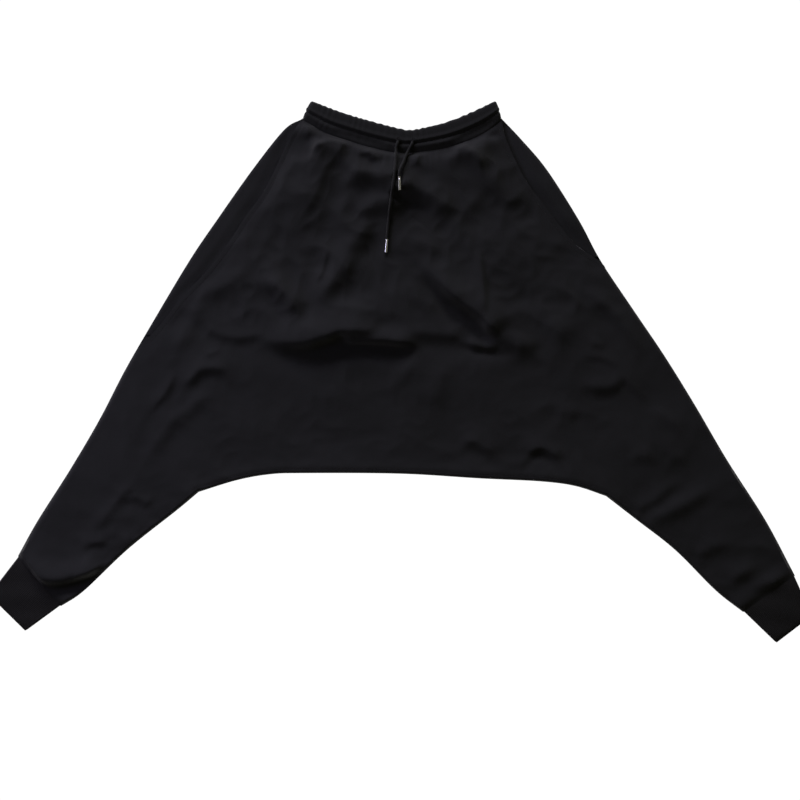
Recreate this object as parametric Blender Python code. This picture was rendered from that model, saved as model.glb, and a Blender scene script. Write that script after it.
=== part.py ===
"""Harem pants with a dropped crotch, laid flat on a table with the front up.

The waist points along +Y, the wearer's right leg lies at -X and the left leg at +X, and +Z
is up, away from the table. The origin is the middle of the garment's box, on the table.
Every size and table below is in millimetres; the mesh builders turn them into metres.

    back_panel              the back, flat on the table
    front_panel             the front, lying on the back, with its folds
    pocket_facing_*         the strip between the pocket edge and the side of the pants
    waistband               a gathered, doubled band, a ring pressed flat
    cuff_*                  a doubled rib, a ring pressed flat
    drawstring_*, tip_*     the two free ends of the cord and their metal tips
"""

from collections import namedtuple
from math import pi

import bmesh
import bpy
import numpy as np
from mathutils import Vector
from mathutils.bvhtree import BVHTree

MM = 0.001

# ---------------------------------------------------------------- driving dimensions (mm)

CLOTH = 2.0              # one layer of brushed jersey
GAP = 0.3                # between two pieces at a seam, and between two layers
BACK_TOP = CLOTH         # the back panel is one layer on the table
LOWEST_INSIDE = BACK_TOP + GAP
EDGE_TOP = LOWEST_INSIDE + CLOTH     # the front's face where it is sewn to the back
POCKET_EDGE_RISE = 1.2   # how far the front's pocket edge stands above the facing
POCKET_EDGE_RUN = 3.0    # how far it must be from the outside of the pants to stand so
PLATEAU = 8.5            # the front's usual height over the table
SIDE_ROLL = 8.0          # width of the rounding along the side seams and inseams
CROTCH_ROLL = 14.0       # the same along the crotch, which is fuller
CROTCH_RISE = 6.0        # how much higher the crotch's roll lies
CROTCH_RISE_AT = 9.0     # how far in from the edge it is highest
CROTCH_RISE_WIDTH = 30.0
WAIST_SEAM_Z = 8.2       # where the gathered front meets the waistband
WAIST_SEAM_RUN = 9.0     # how far from the seam the front still dips to it
WAIST_RISE = 3.5         # how much higher the gathered waist lies than the legs
WAIST_RISE_FROM = 130.0  # Y where it begins to rise
WAIST_RISE_RUN = 240.0
HEM_PUFF = 3.0           # the leg's fullness just above the cuff
HEM_PUFF_WIDTH = 16.0
FACING_RISE = 2.6
FACING_ROLL = 12.0
SOFT_CLAMP = 1.2         # how gently the front's hollows flatten on the back

BAND_WALL = 4.2          # two layers of jersey over elastic
BAND_BACK_Z = 4.2
BAND_FRONT_Z = 5.4       # underside of the band's front wall
BAND_WAVES = 24          # gathers across the front of the band
BAND_WAVE = 0.4
BAND_WAVE_RUN = 0.3      # share of the band's height over which they grow from its seam
BAND_RUFFLE = 0.9        # how far the same gathers show in the band's top edge
BAND_RUFFLE_RUN = 0.25   # share of the height over which they do so
SAMPLES_PER_WAVE = 4
BAND_BACK_CELLS = 16
RING_END_CELLS = 4

CUFF_WALL = 3.0
CUFF_BACK_Z = 3.0
CUFF_FRONT_Z = 4.0
CUFF_HEIGHT = 7.2        # outer face of the cuff's front wall
CUFF_RIBS = 26
CUFF_RIB = 0.45
CUFF_BACK_CELLS = 10
CUFF_INSET = 5.0         # the rib is narrower than the leg that is sewn to it

CORD = 5.0               # diameter of the drawstring
CORD_STEP = 6.0          # distance between the points of the tube
CORD_ROUNDNESS = 2       # the tube's bevel resolution
CORD_FINENESS = 4        # places where its rest is felt out for each point
CORD_LIMP = 9            # how many of them it bridges where what it lies on dips
CORD_CLEAR = 0.6         # how far the straight runs between its points keep off the cloth
CORD_FEELERS = 8         # directions in which its rest is felt out
TIP_LENGTH = 23.0
TIP_CLEAR = 0.6          # how far it keeps off its cord's end, which may be bent to it
TIP_FINENESS = 12        # places where its rest is felt out
TIP_LIFT_RUN = 30.0      # the length of cord that rises to a tip held up by a fold
TIP_SIDES = 12

# How many cells a panel has along each hem, each inseam and the crotch, and from the waist
# down, and the shares of its height where the two narrow cells of its rolled edge end.
Grid = namedtuple("Grid", "hem inseam crotch rows roll_first roll_second")

FRONT_GRID = Grid(5, 14, 31, 40, 0.008, 0.028)
BACK_GRID = Grid(2, 6, 12, 12, 0.01, 0.06)

STEEPEST = 0.65          # a wall is no thicker upright than where it leans as much as this
LEVEL_CUTS = (1, 1, 6)   # how much a cell's width, depth and height count when it is cut
FACING_CELLS = 3
FACING_NARROWEST = 4.0   # the facing ends where it is narrower than this

BLACK_JERSEY = (0.0105, 0.0100, 0.0120)
BLACK_RIB = (0.0085, 0.0080, 0.0085)
BLACK_CORD = (0.0075, 0.0070, 0.0080)
STEEL = (0.62, 0.62, 0.63)

# ---------------------------------------------------------------- outline tables (mm)

# Where each side's seams run. "right" and "left" are the wearer's.
Station = namedtuple("Station", "place right left")

OUTSIDE = (
    Station("waist corner", (-167, 431), (172, 431)),
    Station("high hip", (-198, 412), (206, 395)),
    Station("hip", (-252, 344), (249, 344)),
    Station("low hip", (-312, 259), (303, 259)),
    Station("pocket end", (-358, 191), (340, 190)),
    Station("thigh", (-419, 89), (398, 103)),
    Station("low thigh", (-468, 4), (448, 29)),
    Station("knee", (-512, -81), (500, -55)),
    Station("calf", (-562, -166), (555, -149)),
    Station("shin", (-616, -251), (620, -251)),
    Station("hem, outside", (-650, -312), (670, -345)),
)

# The front's own side: the pocket edge and the side seam, which lies a little way in
# from the outside until it reaches it on the thigh.
FRONT_SIDE_RIGHT = (
    (-167, 431), (-176, 417), (-191, 392), (-213, 344), (-235, 302), (-264, 263),
    (-292, 220), (-330, 171), (-372, 127), (-412, 76), (-446, 42),
)
FRONT_SIDE_LEFT = (
    (172, 431), (176, 405), (188, 375), (212, 327), (237, 293), (263, 259),
    (297, 217), (322, 200), (345, 183),
)

INSEAM = (
    Station("hem, inside", (-577, -397), (582, -407)),
    Station("shin", (-538, -371), (535, -370)),
    Station("calf", (-463, -300), (467, -302)),
    Station("knee", (-380, -234), (402, -251)),
    Station("crotch corner", (-343, -203), (349, -210)),
)

CROTCH = (
    (-343, -203), (-278, -183), (-222, -173), (-165, -171), (-1, -172),
    (135, -180), (237, -185), (297, -193), (349, -210),
)

WAIST_SEAM = (
    (-167, 431), (-130, 408), (-90, 394), (-50, 382), (0, 373),
    (50, 377), (90, 385), (125, 398), (150, 412), (172, 431),
)

BAND_TOP = (
    (-150, 460), (-100, 441), (-50, 426), (0, 413), (18, 411),
    (45, 416), (80, 425), (120, 441), (160, 460),
)

# The band's front face from the waist seam up: share of its height, height over the table.
BandRow = namedtuple("BandRow", "part share z")

BAND_ROWS = (
    BandRow("seam", 0.00, 8.2),
    BandRow("lower channel, face", 0.14, 10.4),
    BandRow("lower channel, crest", 0.28, 11.9),
    BandRow("lower channel, back", 0.36, 11.8),
    BandRow("stitch line", 0.42, 11.1),
    BandRow("upper channel, crest", 0.53, 14.6),
    BandRow("upper channel", 0.68, 14.0),
    BandRow("ruffle", 0.93, 13.4),
    BandRow("top edge", 1.00, 10.6),
)

# Each cuff: the ends of its seam with the leg and of its open edge, outside then inside.
Cuff = namedtuple("Cuff", "side seam_outside seam_inside edge_outside edge_inside")

CUFFS = (
    Cuff("right", (-650, -312), (-577, -397), (-700, -377), (-636, -440)),
    Cuff("left", (670, -345), (582, -407), (700, -412), (637, -460)),
)

# ---------------------------------------------------------------- fold table (mm)

# A fold runs along a line. Walking along it, "crest" is its height (a groove if negative),
# "to_left" and "to_right" are how far it spreads on each hand, and "hollow" is the depth of
# the dip that it hangs over on the right hand, deepest at "reach". It fades in over the
# first "start" and out over the last "end" share of its line.
Fold = namedtuple("Fold", "name line crest to_left to_right hollow reach start end")

FOLDS = (
    Fold("hip ridge, right", (
        (-208, 208), (-164, 274), (-141, 329), (-124, 384), (-106, 400)),
        6.0, 16, 14, 2, 22, 0.55, 0.3),
    Fold("shade of the hip ridge", (
        (-156, 370), (-118, 390), (-82, 376)), 9.0, 12, 28, 0, 10, 0.3, 0.3),
    Fold("bulge beside the cord", (
        (-98, 344), (-62, 342), (-6, 335)), 12.0, 16, 20, 1, 34, 0.3, 0.1),
    Fold("tuck under the band", (
        (80, 380), (102, 388), (126, 384)), 7.0, 12, 24, 0, 10, 0.4, 0.4),
    Fold("hip ridge, left", (
        (112, 392), (130, 348), (157, 305), (175, 290), (204, 282), (232, 283)),
        11.0, 22, 16, 1, 26, 0.12, 0.45),
    Fold("arch, right half", (
        (-88, 262), (-82, 278), (-68, 290), (-42, 297), (-8, 300)),
        9.0, 14, 22, 6, 46, 0.35, 0.15),
    Fold("arch, right flank", (
        (-94, 196), (-86, 238), (-82, 278)), 7.0, 24, 22, 0, 10, 0.35, 0.3),
    Fold("arch, left half", (
        (-8, 328), (17, 321), (42, 309), (88, 281), (106, 266)),
        11.0, 16, 18, 2, 36, 0.12, 0.35),
    Fold("hollow under the arch", (
        (-6, 284), (46, 280), (72, 268)), -5.0, 16, 14, 0, 10, 0.3, 0.4),
    Fold("fan", (
        (-152, 108), (-114, 158), (-86, 212), (-78, 244)), 10.0, 22, 20, 0, 10, 0.35, 0.35),
    Fold("three-cornered fold", (
        (-244, 169), (-205, 144), (-177, 109), (-160, 89)), 11.0, 22, 20, 0, 10, 0.3, 0.25),
    Fold("slanting fold", (
        (14, 214), (58, 168), (102, 126), (143, 96), (178, 64)),
        11.0, 26, 15, 5, 22, 0.5, 0.1),
    Fold("great fold, right end", (
        (-350, 114), (-318, 72), (-272, 62), (-222, 70)), 4.0, 20, 13, 1, 17, 0.4, 0.25),
    Fold("great fold", (
        (-262, 66), (-226, 59), (-190, 56), (-158, 59), (-106, 76), (-48, 77), (-20, 74)),
        18.0, 36, 14, 8, 32, 0.45, 0.25),
    Fold("great fold, tongue", (
        (-104, 63), (-50, 59), (14, 53), (44, 43)), 10.0, 15, 13, 5, 20, 0.15, 0.35),
    Fold("great fold, left end", (
        (0, 78), (62, 67), (120, 60)), 4.2, 20, 14, 2, 26, 0.35, 0.3),
    Fold("short fold at the end", (
        (108, 59), (146, 47), (172, 47)), 6.0, 14, 13, 3, 16, 0.3, 0.3),
    Fold("soft groove, left thigh", (
        (212, 126), (260, 88), (295, 42)), 7.0, 34, 20, 0, 10, 0.35, 0.35),
    Fold("dimple, left thigh", (
        (186, 40), (210, 46), (238, 41)), 4.0, 14, 20, 1, 30, 0.4, 0.4),
    Fold("roof-shaped crease", (
        (300, -20), (352, -24), (382, -10), (412, -40), (430, -56)),
        4.0, 16, 14, 1, 18, 0.3, 0.35),
    Fold("side fold, left thigh", (
        (303, 156), (353, 112), (386, 71), (418, 25)), 4.5, 16, 14, 0, 10, 0.3, 0.35),
    Fold("knee dents, left leg", (
        (384, -137), (434, -133), (492, -140)), 3.0, 14, 14, 0, 10, 0.35, 0.35),
    Fold("knee crease, left leg", (
        (395, -236), (431, -213), (467, -189), (491, -182)), 3.6, 15, 13, 1, 16, 0.15, 0.45),
    Fold("shin crease, left leg", (
        (412, -255), (458, -233), (502, -208), (560, -193)), 4.5, 15, 16, 1, 26, 0.2, 0.45),
    Fold("ankle crease, left leg", (
        (494, -314), (540, -291), (580, -286)), 4.0, 16, 15, 1, 22, 0.25, 0.45),
    Fold("crease above the left cuff", (
        (548, -352), (574, -342), (612, -314)), 4.2, 14, 15, 1, 20, 0.3, 0.4),
    Fold("ridge beside the pocket", (
        (-380, 14), (-364, 74), (-336, 128), (-310, 176)), 3.8, 15, 18, 0, 10, 0.25, 0.45),
    Fold("thigh crease, right leg", (
        (-376, -32), (-343, 5), (-322, 10), (-281, -4)), 5.0, 14, 14, 2, 18, 0.3, 0.3),
    Fold("long crease, right leg, upper", (
        (-446, -166), (-404, -104), (-364, -65), (-318, -41), (-284, -48)),
        4.0, 15, 16, 0, 10, 0.35, 0.35),
    Fold("long crease, right leg, lower", (
        (-530, -278), (-488, -226), (-456, -190), (-440, -166)),
        3.2, 14, 14, 0, 10, 0.25, 0.4),
    Fold("ankle dent, right leg", (
        (-548, -297), (-526, -288), (-492, -285)), 3.4, 14, 13, 1, 14, 0.3, 0.3),
    Fold("fold over the right cuff", (
        (-662, -330), (-634, -341), (-608, -347), (-582, -349), (-553, -343), (-524, -332),
        (-500, -317)), 10.0, 22, 13, 4, 16, 0.2, 0.2),
    Fold("shallow crotch dent", (
        (94, -120), (124, -115), (172, -140)), 4.6, 18, 14, 2, 22, 0.35, 0.35),
    Fold("deep crotch dent", (
        (204, -140), (222, -129), (242, -125), (278, -150)), 5.6, 18, 14, 3, 18, 0.3, 0.3),
)

# ---------------------------------------------------------------- drawstring tables (mm)

# Each free end, from the channel down over the front: its points, right and up.
Route = namedtuple("Route", "name points")

ROUTES = (
    Route("long", (
        (-4, 393), (-7, 380), (-8, 366), (-9, 348), (-11, 330), (-14, 308), (-17, 286),
        (-19, 268), (-21, 250), (-23, 226))),
    Route("short", (
        (21, 392), (18, 384), (13, 375), (9, 366), (6, 358), (3, 351), (0, 344),
        (-2, 337), (-2, 330))),
)

# A metal tip from the cord outwards: share of its length, radius.
TipRow = namedtuple("TipRow", "share radius")

TIP_ROWS = (
    TipRow(0.00, 2.3),
    TipRow(0.12, 2.5),
    TipRow(0.22, 2.25),
    TipRow(0.92, 2.25),
    TipRow(1.00, 1.7),
)


# ---------------------------------------------------------------- curves in the plane


def smooth(points, step):
    """A Catmull-Rom curve through the points, with a point about every step."""
    p = np.array(points, float)
    ends = np.vstack([2 * p[0] - p[1], p, 2 * p[-1] - p[-2]])
    pieces = []
    for i in range(1, len(ends) - 2):
        a, b, c, d = ends[i - 1:i + 3]
        count = max(int(np.linalg.norm(c - b) / step), 1)
        t = (np.arange(count) / count)[:, None]
        pieces.append(
            0.5 * (2 * b + (c - a) * t + (2 * a - 5 * b + 4 * c - d) * t ** 2
                   + (3 * b - a - 3 * c + d) * t ** 3)
        )
    return np.vstack(pieces + [p[-1:]])


def shares_along(line):
    """The share of a line's length at each of its points."""
    run = np.linalg.norm(np.diff(line, axis=0), axis=1)
    return np.concatenate([[0], np.cumsum(run)]) / run.sum()


def at_shares(line, shares):
    """Points of a line at shares of its length."""
    have = shares_along(line)
    return np.column_stack([np.interp(shares, have, column) for column in line.T])


def beside(line, x, y):
    """Signed distance from a line, left hand positive, and the share reached along it."""
    shares = shares_along(line)
    nearest = np.full(x.shape, np.inf)
    side = np.zeros(x.shape)
    share = np.zeros(x.shape)
    for i, (a, b) in enumerate(zip(line[:-1], line[1:])):
        length = np.linalg.norm(b - a)
        ux, uy = (b - a) / length
        px, py = x - a[0], y - a[1]
        t = np.clip(px * ux + py * uy, 0, length)
        distance = np.hypot(px - t * ux, py - t * uy)
        closer = distance < nearest
        nearest = np.where(closer, distance, nearest)
        side = np.where(closer, ux * py - uy * px, side)
        here = shares[i] + (shares[i + 1] - shares[i]) * t / length
        share = np.where(closer, here, share)
    return nearest * np.where(side >= 0, 1, -1), share


def ease(t):
    """A smooth step from 0 to 1."""
    t = np.clip(t, 0, 1)
    return t * t * (3 - 2 * t)


def quarter_round(distance, width):
    """0 at an edge, 1 from width inwards, rounded like a rolled edge between."""
    t = np.clip(distance / width, 0, 1)
    return np.sqrt(1 - (1 - t) ** 2)


# ---------------------------------------------------------------- the garment's lines

FINE = 4.0         # step of the curves that the other points are read from
WELL_ABOVE = 100   # a height clear of the whole garment

OUTSIDE_RIGHT = smooth([s.right for s in OUTSIDE], FINE)
OUTSIDE_LEFT = smooth([s.left for s in OUTSIDE], FINE)
INSEAM_RIGHT = smooth([s.right for s in INSEAM], FINE)
INSEAM_LEFT = smooth([s.left for s in INSEAM], FINE)
CROTCH_LINE = smooth(CROTCH, FINE)
SEAM_LINE = smooth(WAIST_SEAM, FINE)
BAND_TOP_LINE = smooth(BAND_TOP, FINE)


def front_side(mouth, outside):
    """The front's side: the pocket edge, then the outside from where it is reached."""
    pocket = smooth(mouth, FINE)
    below = outside[outside[:, 1] < mouth[-1][1] - FINE]
    return np.vstack([pocket, below])


SIDE_RIGHT = front_side(FRONT_SIDE_RIGHT, OUTSIDE_RIGHT)
SIDE_LEFT = front_side(FRONT_SIDE_LEFT, OUTSIDE_LEFT)


def bottom_edge(grid):
    """The lower edge of a panel, hem to hem, with a point on each corner."""
    hem_right = np.array([OUTSIDE[-1].right, INSEAM[0].right], float)
    hem_left = np.array([INSEAM[0].left, OUTSIDE[-1].left], float)
    runs = (
        (hem_right, grid.hem), (INSEAM_RIGHT, grid.inseam), (CROTCH_LINE, grid.crotch),
        (INSEAM_LEFT[::-1], grid.inseam), (hem_left, grid.hem),
    )
    points = [at_shares(line, np.linspace(0, 1, n + 1))[:-1] for line, n in runs]
    return np.vstack(points + [hem_left[-1:]])


def panel_grid(side_right, side_left, grid):
    """Points over a panel: rows from the waist seam down, columns from right leg to left.

    The inside is blended from the four edges (a Coons patch).
    """
    bottom = bottom_edge(grid)
    rows = edged(grid.rows, grid.roll_first, grid.roll_second)
    u = shares_along(bottom)[None, :, None]
    v = rows[:, None, None]
    top = at_shares(SEAM_LINE, u.ravel())[None]
    low = bottom[None]
    right = at_shares(side_right, rows)[:, None]
    left = at_shares(side_left, rows)[:, None]
    corners = (
        (1 - u) * (1 - v) * top[:, :1] + u * (1 - v) * top[:, -1:]
        + (1 - u) * v * low[:, :1] + u * v * low[:, -1:]
    )
    return (1 - v) * top + v * low + (1 - u) * right + u * left - corners


def edged(cells, first, second):
    """Shares from 0 to 1 with two narrow cells at each end, for a rolled edge."""
    inner = np.linspace(second, 1 - second, cells - 3)
    return np.concatenate([[0, first], inner, [1 - first, 1]])


# ---------------------------------------------------------------- heights over the table


def fold_height(fold, x, y):
    """What one fold adds to the front's height."""
    distance, share = beside(smooth(fold.line, FINE), x, y)
    spread = np.where(distance > 0, fold.to_left, fold.to_right)
    shape = fold.crest * np.exp(-(distance / spread) ** 2)
    below = np.clip(-distance, 0, None) / fold.reach
    shape = shape - fold.hollow * below ** 2 * np.exp(1 - below ** 2)
    return shape * ease(share / fold.start) * ease((1 - share) / fold.end)


def front_height(x, y):
    """The front's outer face: rolled edges, a fuller crotch and hems, and the folds."""
    sides = np.minimum.reduce([
        abs(beside(line, x, y)[0]) for line in (SIDE_RIGHT, SIDE_LEFT, INSEAM_RIGHT, INSEAM_LEFT)
    ])
    crotch = abs(beside(CROTCH_LINE, x, y)[0])
    outside = np.minimum(
        abs(beside(OUTSIDE_RIGHT, x, y)[0]), abs(beside(OUTSIDE_LEFT, x, y)[0])
    )
    edge = EDGE_TOP + POCKET_EDGE_RISE * np.clip(outside / POCKET_EDGE_RUN, 0, 1)
    past_peak = (crotch - CROTCH_RISE_AT) / CROTCH_RISE_WIDTH
    plateau = PLATEAU + CROTCH_RISE * np.exp(-past_peak ** 2)
    plateau = plateau + WAIST_RISE * ease((y - WAIST_RISE_FROM) / WAIST_RISE_RUN)
    for cuff in CUFFS:
        hem = np.array([cuff.seam_outside, cuff.seam_inside], float)
        away = abs(beside(hem, x, y)[0])
        plateau = plateau + HEM_PUFF * np.exp(-((away - HEM_PUFF_WIDTH) / HEM_PUFF_WIDTH) ** 2)
    for fold in FOLDS:
        plateau = plateau + fold_height(fold, x, y)
    rolled = np.minimum(quarter_round(sides, SIDE_ROLL), quarter_round(crotch, CROTCH_ROLL))
    z = edge + (plateau - edge) * rolled
    waist = abs(beside(SEAM_LINE, x, y)[0])
    z = z + (WAIST_SEAM_Z - z) * np.exp(-(waist / WAIST_SEAM_RUN) ** 2)
    return EDGE_TOP + SOFT_CLAMP * np.logaddexp(0, (z - EDGE_TOP) / SOFT_CLAMP)


def facing_height(x, y):
    """The pocket facing's outer face, rounded over at the outside of the pants."""
    outside = np.minimum(
        abs(beside(OUTSIDE_RIGHT, x, y)[0]), abs(beside(OUTSIDE_LEFT, x, y)[0])
    )
    seam = np.minimum(abs(beside(SIDE_RIGHT, x, y)[0]), abs(beside(SIDE_LEFT, x, y)[0]))
    rise = quarter_round(outside, FACING_ROLL) * ease(seam / FACING_ROLL)
    return EDGE_TOP + FACING_RISE * rise


def inside_of(points):
    """The inner face of a wall of one layer under an outer face given as a grid."""
    down = np.gradient(points, axis=0)
    across = np.gradient(points, axis=1)
    normal = np.cross(down, across)
    upright = abs(normal[..., 2]) / np.linalg.norm(normal, axis=-1)
    inner = points.copy()
    inner[..., 2] -= CLOTH / np.clip(upright, STEEPEST, 1)
    inner[..., 2] = np.maximum(inner[..., 2], LOWEST_INSIDE)
    return inner


# ---------------------------------------------------------------- objects


def finish_of(name, colour, roughness, metallic=0.0):
    """A Principled material with a plain finish."""
    material = bpy.data.materials.new(name)
    material.use_nodes = True
    shader = material.node_tree.nodes["Principled BSDF"]
    shader.inputs["Base Color"].default_value = (*colour, 1.0)
    shader.inputs["Roughness"].default_value = roughness
    shader.inputs["Metallic"].default_value = metallic
    return material


def add_object(name, data, material, parent):
    """Link an object under the garment's empty and give it its material."""
    thing = bpy.data.objects.new(name, data)
    data.materials.append(material)
    thing.parent = parent
    bpy.context.collection.objects.link(thing)
    return thing


def mesh_from(name, points, faces):
    """A closed mesh from points in millimetres, with its faces pointing out."""
    mesh = bpy.data.meshes.new(name)
    mesh.from_pydata((np.asarray(points, float) * MM).tolist(), [], faces)
    shape = bmesh.new()
    shape.from_mesh(mesh)
    bmesh.ops.recalc_face_normals(shape, faces=shape.faces)
    shape.to_mesh(mesh)
    shape.free()
    mesh.shade_smooth()
    return mesh


def two_triangles(points, a, b, c, d):
    """A four-sided cell as two triangles, cut along its shorter and more level diagonal."""
    first = np.linalg.norm((points[a] - points[c]) * LEVEL_CUTS)
    second = np.linalg.norm((points[b] - points[d]) * LEVEL_CUTS)
    if first < second:
        return [(a, b, c), (a, c, d)]
    return [(a, b, d), (b, c, d)]


def sheet_mesh(name, outer, inner):
    """A wall between two grids of points, closed round its four edges."""
    rows, columns = outer.shape[:2]
    points = np.vstack([outer.reshape(-1, 3), inner.reshape(-1, 3)])
    below = rows * columns
    faces = []
    for r in range(rows - 1):
        for c in range(columns - 1):
            a = r * columns + c
            cell = two_triangles(points, a, a + columns, a + columns + 1, a + 1)
            faces += cell
            faces += [tuple(i + below for i in reversed(face)) for face in cell]
    rim = list(range(columns))
    rim += [r * columns + columns - 1 for r in range(1, rows)]
    rim += [(rows - 1) * columns + c for c in range(columns - 2, -1, -1)]
    rim += [r * columns for r in range(rows - 2, 0, -1)]
    for a, b in zip(rim, rim[1:] + rim[:1]):
        faces += two_triangles(points, a, b, b + below, a + below)
    return mesh_from(name, points, faces)


def ring_mesh(name, outer, inner):
    """A wall between two tubes of points: rows from edge to edge, columns round the tube."""
    columns = outer.shape[1]
    loops = np.concatenate([outer, inner[::-1]])
    points = loops.reshape(-1, 3)
    faces = []
    for r in range(len(loops)):
        here, above = r * columns, (r + 1) % len(loops) * columns
        for c in range(columns):
            after = (c + 1) % columns
            faces += two_triangles(points, here + c, here + after, above + after, above + c)
    return mesh_from(name, points, faces)


# ---------------------------------------------------------------- panels and facings


def back_panel():
    """The back: one flat layer on the table, out to the whole outline."""
    plan = panel_grid(OUTSIDE_RIGHT, OUTSIDE_LEFT, BACK_GRID)
    lower = np.dstack([plan, np.zeros(plan.shape[:2])])
    upper = lower + (0, 0, BACK_TOP)
    return sheet_mesh("back_panel", upper, lower)


def front_plan():
    """Where the front's points lie, seen from above."""
    return panel_grid(SIDE_RIGHT, SIDE_LEFT, FRONT_GRID)


def front_panel(plan):
    """The front: one layer with its folds, lying on the back."""
    outer = np.dstack([plan, front_height(plan[..., 0], plan[..., 1])])
    return sheet_mesh("front_panel", outer, inside_of(outer))


def pocket_facing(name, seam, outside, outward):
    """The strip from the front's pocket edge to the outside of the pants.

    seam holds the front's own side points, and outward is the sign of X there.
    """
    rows = []
    for x, y in seam[1:]:
        edge_x = np.interp(-y, -outside[:, 1], outside[:, 0])
        if abs(edge_x - x) < FACING_NARROWEST:
            break
        start = x + outward * GAP
        across = np.linspace(start, edge_x, FACING_CELLS * 2 + 1)
        rows.append([(at, y) for at in across])
    plan = np.array(rows)
    outer = np.dstack([plan, facing_height(plan[..., 0], plan[..., 1])])
    inner = outer.copy()
    inner[..., 2] = np.maximum(outer[..., 2] - CLOTH, LOWEST_INSIDE)
    return sheet_mesh(name, outer, inner)


# ---------------------------------------------------------------- waistband and cuffs


def round_ring(front_cells, back_cells):
    """Two lists round a flattened ring: the share across it, and the turn.

    The turn is 1 on the front and 0 on the back, and passes between them at both ends.
    """
    turns = np.arange(1, RING_END_CELLS) / RING_END_CELLS
    across = np.concatenate([
        np.linspace(0, 1, front_cells + 1), np.ones(len(turns)),
        np.linspace(1, 0, back_cells + 1), np.zeros(len(turns)),
    ])
    turn = np.concatenate([
        np.ones(front_cells + 1), turns[::-1], np.zeros(back_cells + 1), turns,
    ])
    return across, turn


def ring_loop(line, across, turn, low, high):
    """A loop round a flattened ring: low at the back, high in front, rounded past its ends."""
    place = at_shares(line, across)
    way_out = np.where((across < 0.5)[:, None], line[0] - line[1], line[-1] - line[-2])
    way_out = way_out / np.linalg.norm(way_out, axis=1, keepdims=True)
    place = place + way_out * ((high - low) / 2 * np.sin(turn * pi))[:, None]
    return np.column_stack([place, low + (high - low) * (1 - np.cos(turn * pi)) / 2])


def shortened(line, by):
    """A line with its two ends drawn in."""
    length = np.linalg.norm(np.diff(line, axis=0), axis=1).sum()
    return at_shares(line, np.linspace(by / length, 1 - by / length, len(line)))


def waistband():
    """The gathered band: a ring pressed flat, with two channels sewn along it."""
    round_end = BAND_ROWS[1].z / 2
    foot = shortened(SEAM_LINE, round_end) + (0, GAP)
    head = at_shares(shortened(BAND_TOP_LINE, round_end), np.linspace(0, 1, len(foot)))
    across, turn = round_ring(BAND_WAVES * SAMPLES_PER_WAVE, BAND_BACK_CELLS)
    wave = np.sin(across * BAND_WAVES * 2 * pi) * (turn == 1)
    outer = []
    for row in BAND_ROWS:
        loop = ring_loop(foot + (head - foot) * row.share, across, turn, 0, row.z)
        loop[:, 2] += wave * BAND_WAVE * ease(row.share / BAND_WAVE_RUN)
        loop[:, 1] += wave * BAND_RUFFLE * ease(1 - (1 - row.share) / BAND_RUFFLE_RUN)
        outer.append(loop)
    inner = [ring_loop(line, across, turn, BAND_BACK_Z, BAND_FRONT_Z) for line in (foot, head)]
    return ring_mesh("waistband", np.array(outer), np.array(inner))


def cuff(row):
    """A rib cuff: a ring pressed flat, sewn to the leg's hem."""
    corners = [np.array(p, float) for p in row[1:]]
    seam, edge = np.array(corners[:2]), np.array(corners[2:])
    down = edge.mean(axis=0) - seam.mean(axis=0)
    seam = shortened(seam, CUFF_INSET + CUFF_HEIGHT / 2) + down / np.linalg.norm(down) * GAP
    edge = shortened(edge, CUFF_HEIGHT / 2)
    across, turn = round_ring(CUFF_RIBS * 2, CUFF_BACK_CELLS)
    rib = CUFF_RIB * (np.arange(len(across)) % 2) * ((turn == 1) & (across > 0) & (across < 1))
    outer = []
    for share in (0.0, 0.5, 1.0):
        loop = ring_loop(seam + (edge - seam) * share, across, turn, 0, CUFF_HEIGHT)
        loop[:, 2] -= rib
        outer.append(loop)
    inner = [ring_loop(line, across, turn, CUFF_BACK_Z, CUFF_FRONT_Z) for line in (seam, edge)]
    return ring_mesh("cuff_" + row.side, np.array(outer), np.array(inner))


# ---------------------------------------------------------------- drawstring


def resting_height(trees, x, y, radius):
    """How high a round cord's middle lies at a place, on whatever is under it."""
    highest = 0.0
    for turn in np.linspace(0, 2 * pi, CORD_FEELERS, endpoint=False):
        for reach in (0.0, radius / 2, radius):
            start = Vector((x + reach * np.cos(turn), y + reach * np.sin(turn), WELL_ABOVE)) * MM
            lift = radius - np.sqrt(radius ** 2 - reach ** 2)
            for tree in trees:
                hit = tree.ray_cast(start, Vector((0, 0, -1)))[0]
                if hit:
                    highest = max(highest, hit.z / MM - lift)
    return highest + radius + CORD_CLEAR


def bridged(values, summary):
    """Each value replaced by a summary of its neighbours."""
    wide = np.pad(values, CORD_LIMP // 2, mode="edge")
    return np.array([summary(wide[i:i + CORD_LIMP]) for i in range(len(values))])


def cord_line(route, trees):
    """The cord's middle line: its route, laid on the garment and evened out."""
    plan = smooth(route.points, FINE)
    count = round(np.linalg.norm(np.diff(plan, axis=0), axis=1).sum() / CORD_STEP)
    plan = at_shares(plan, np.linspace(0, 1, count * CORD_FINENESS + 1))
    rest = np.array([resting_height(trees, x, y, CORD / 2) for x, y in plan])
    height = np.maximum(rest, bridged(bridged(rest, max), np.mean))
    return np.column_stack([plan, height])[::CORD_FINENESS]


def cord_curve(name, line):
    """A round tube with closed ends along a line."""
    curve = bpy.data.curves.new(name, "CURVE")
    curve.dimensions = "3D"
    curve.bevel_depth = CORD / 2 * MM
    curve.bevel_resolution = CORD_ROUNDNESS
    curve.use_fill_caps = True
    spline = curve.splines.new("POLY")
    spline.points.add(len(line) - 1)
    for point, place in zip(spline.points, line):
        point.co = (*(place * MM), 1.0)
    return curve


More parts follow.
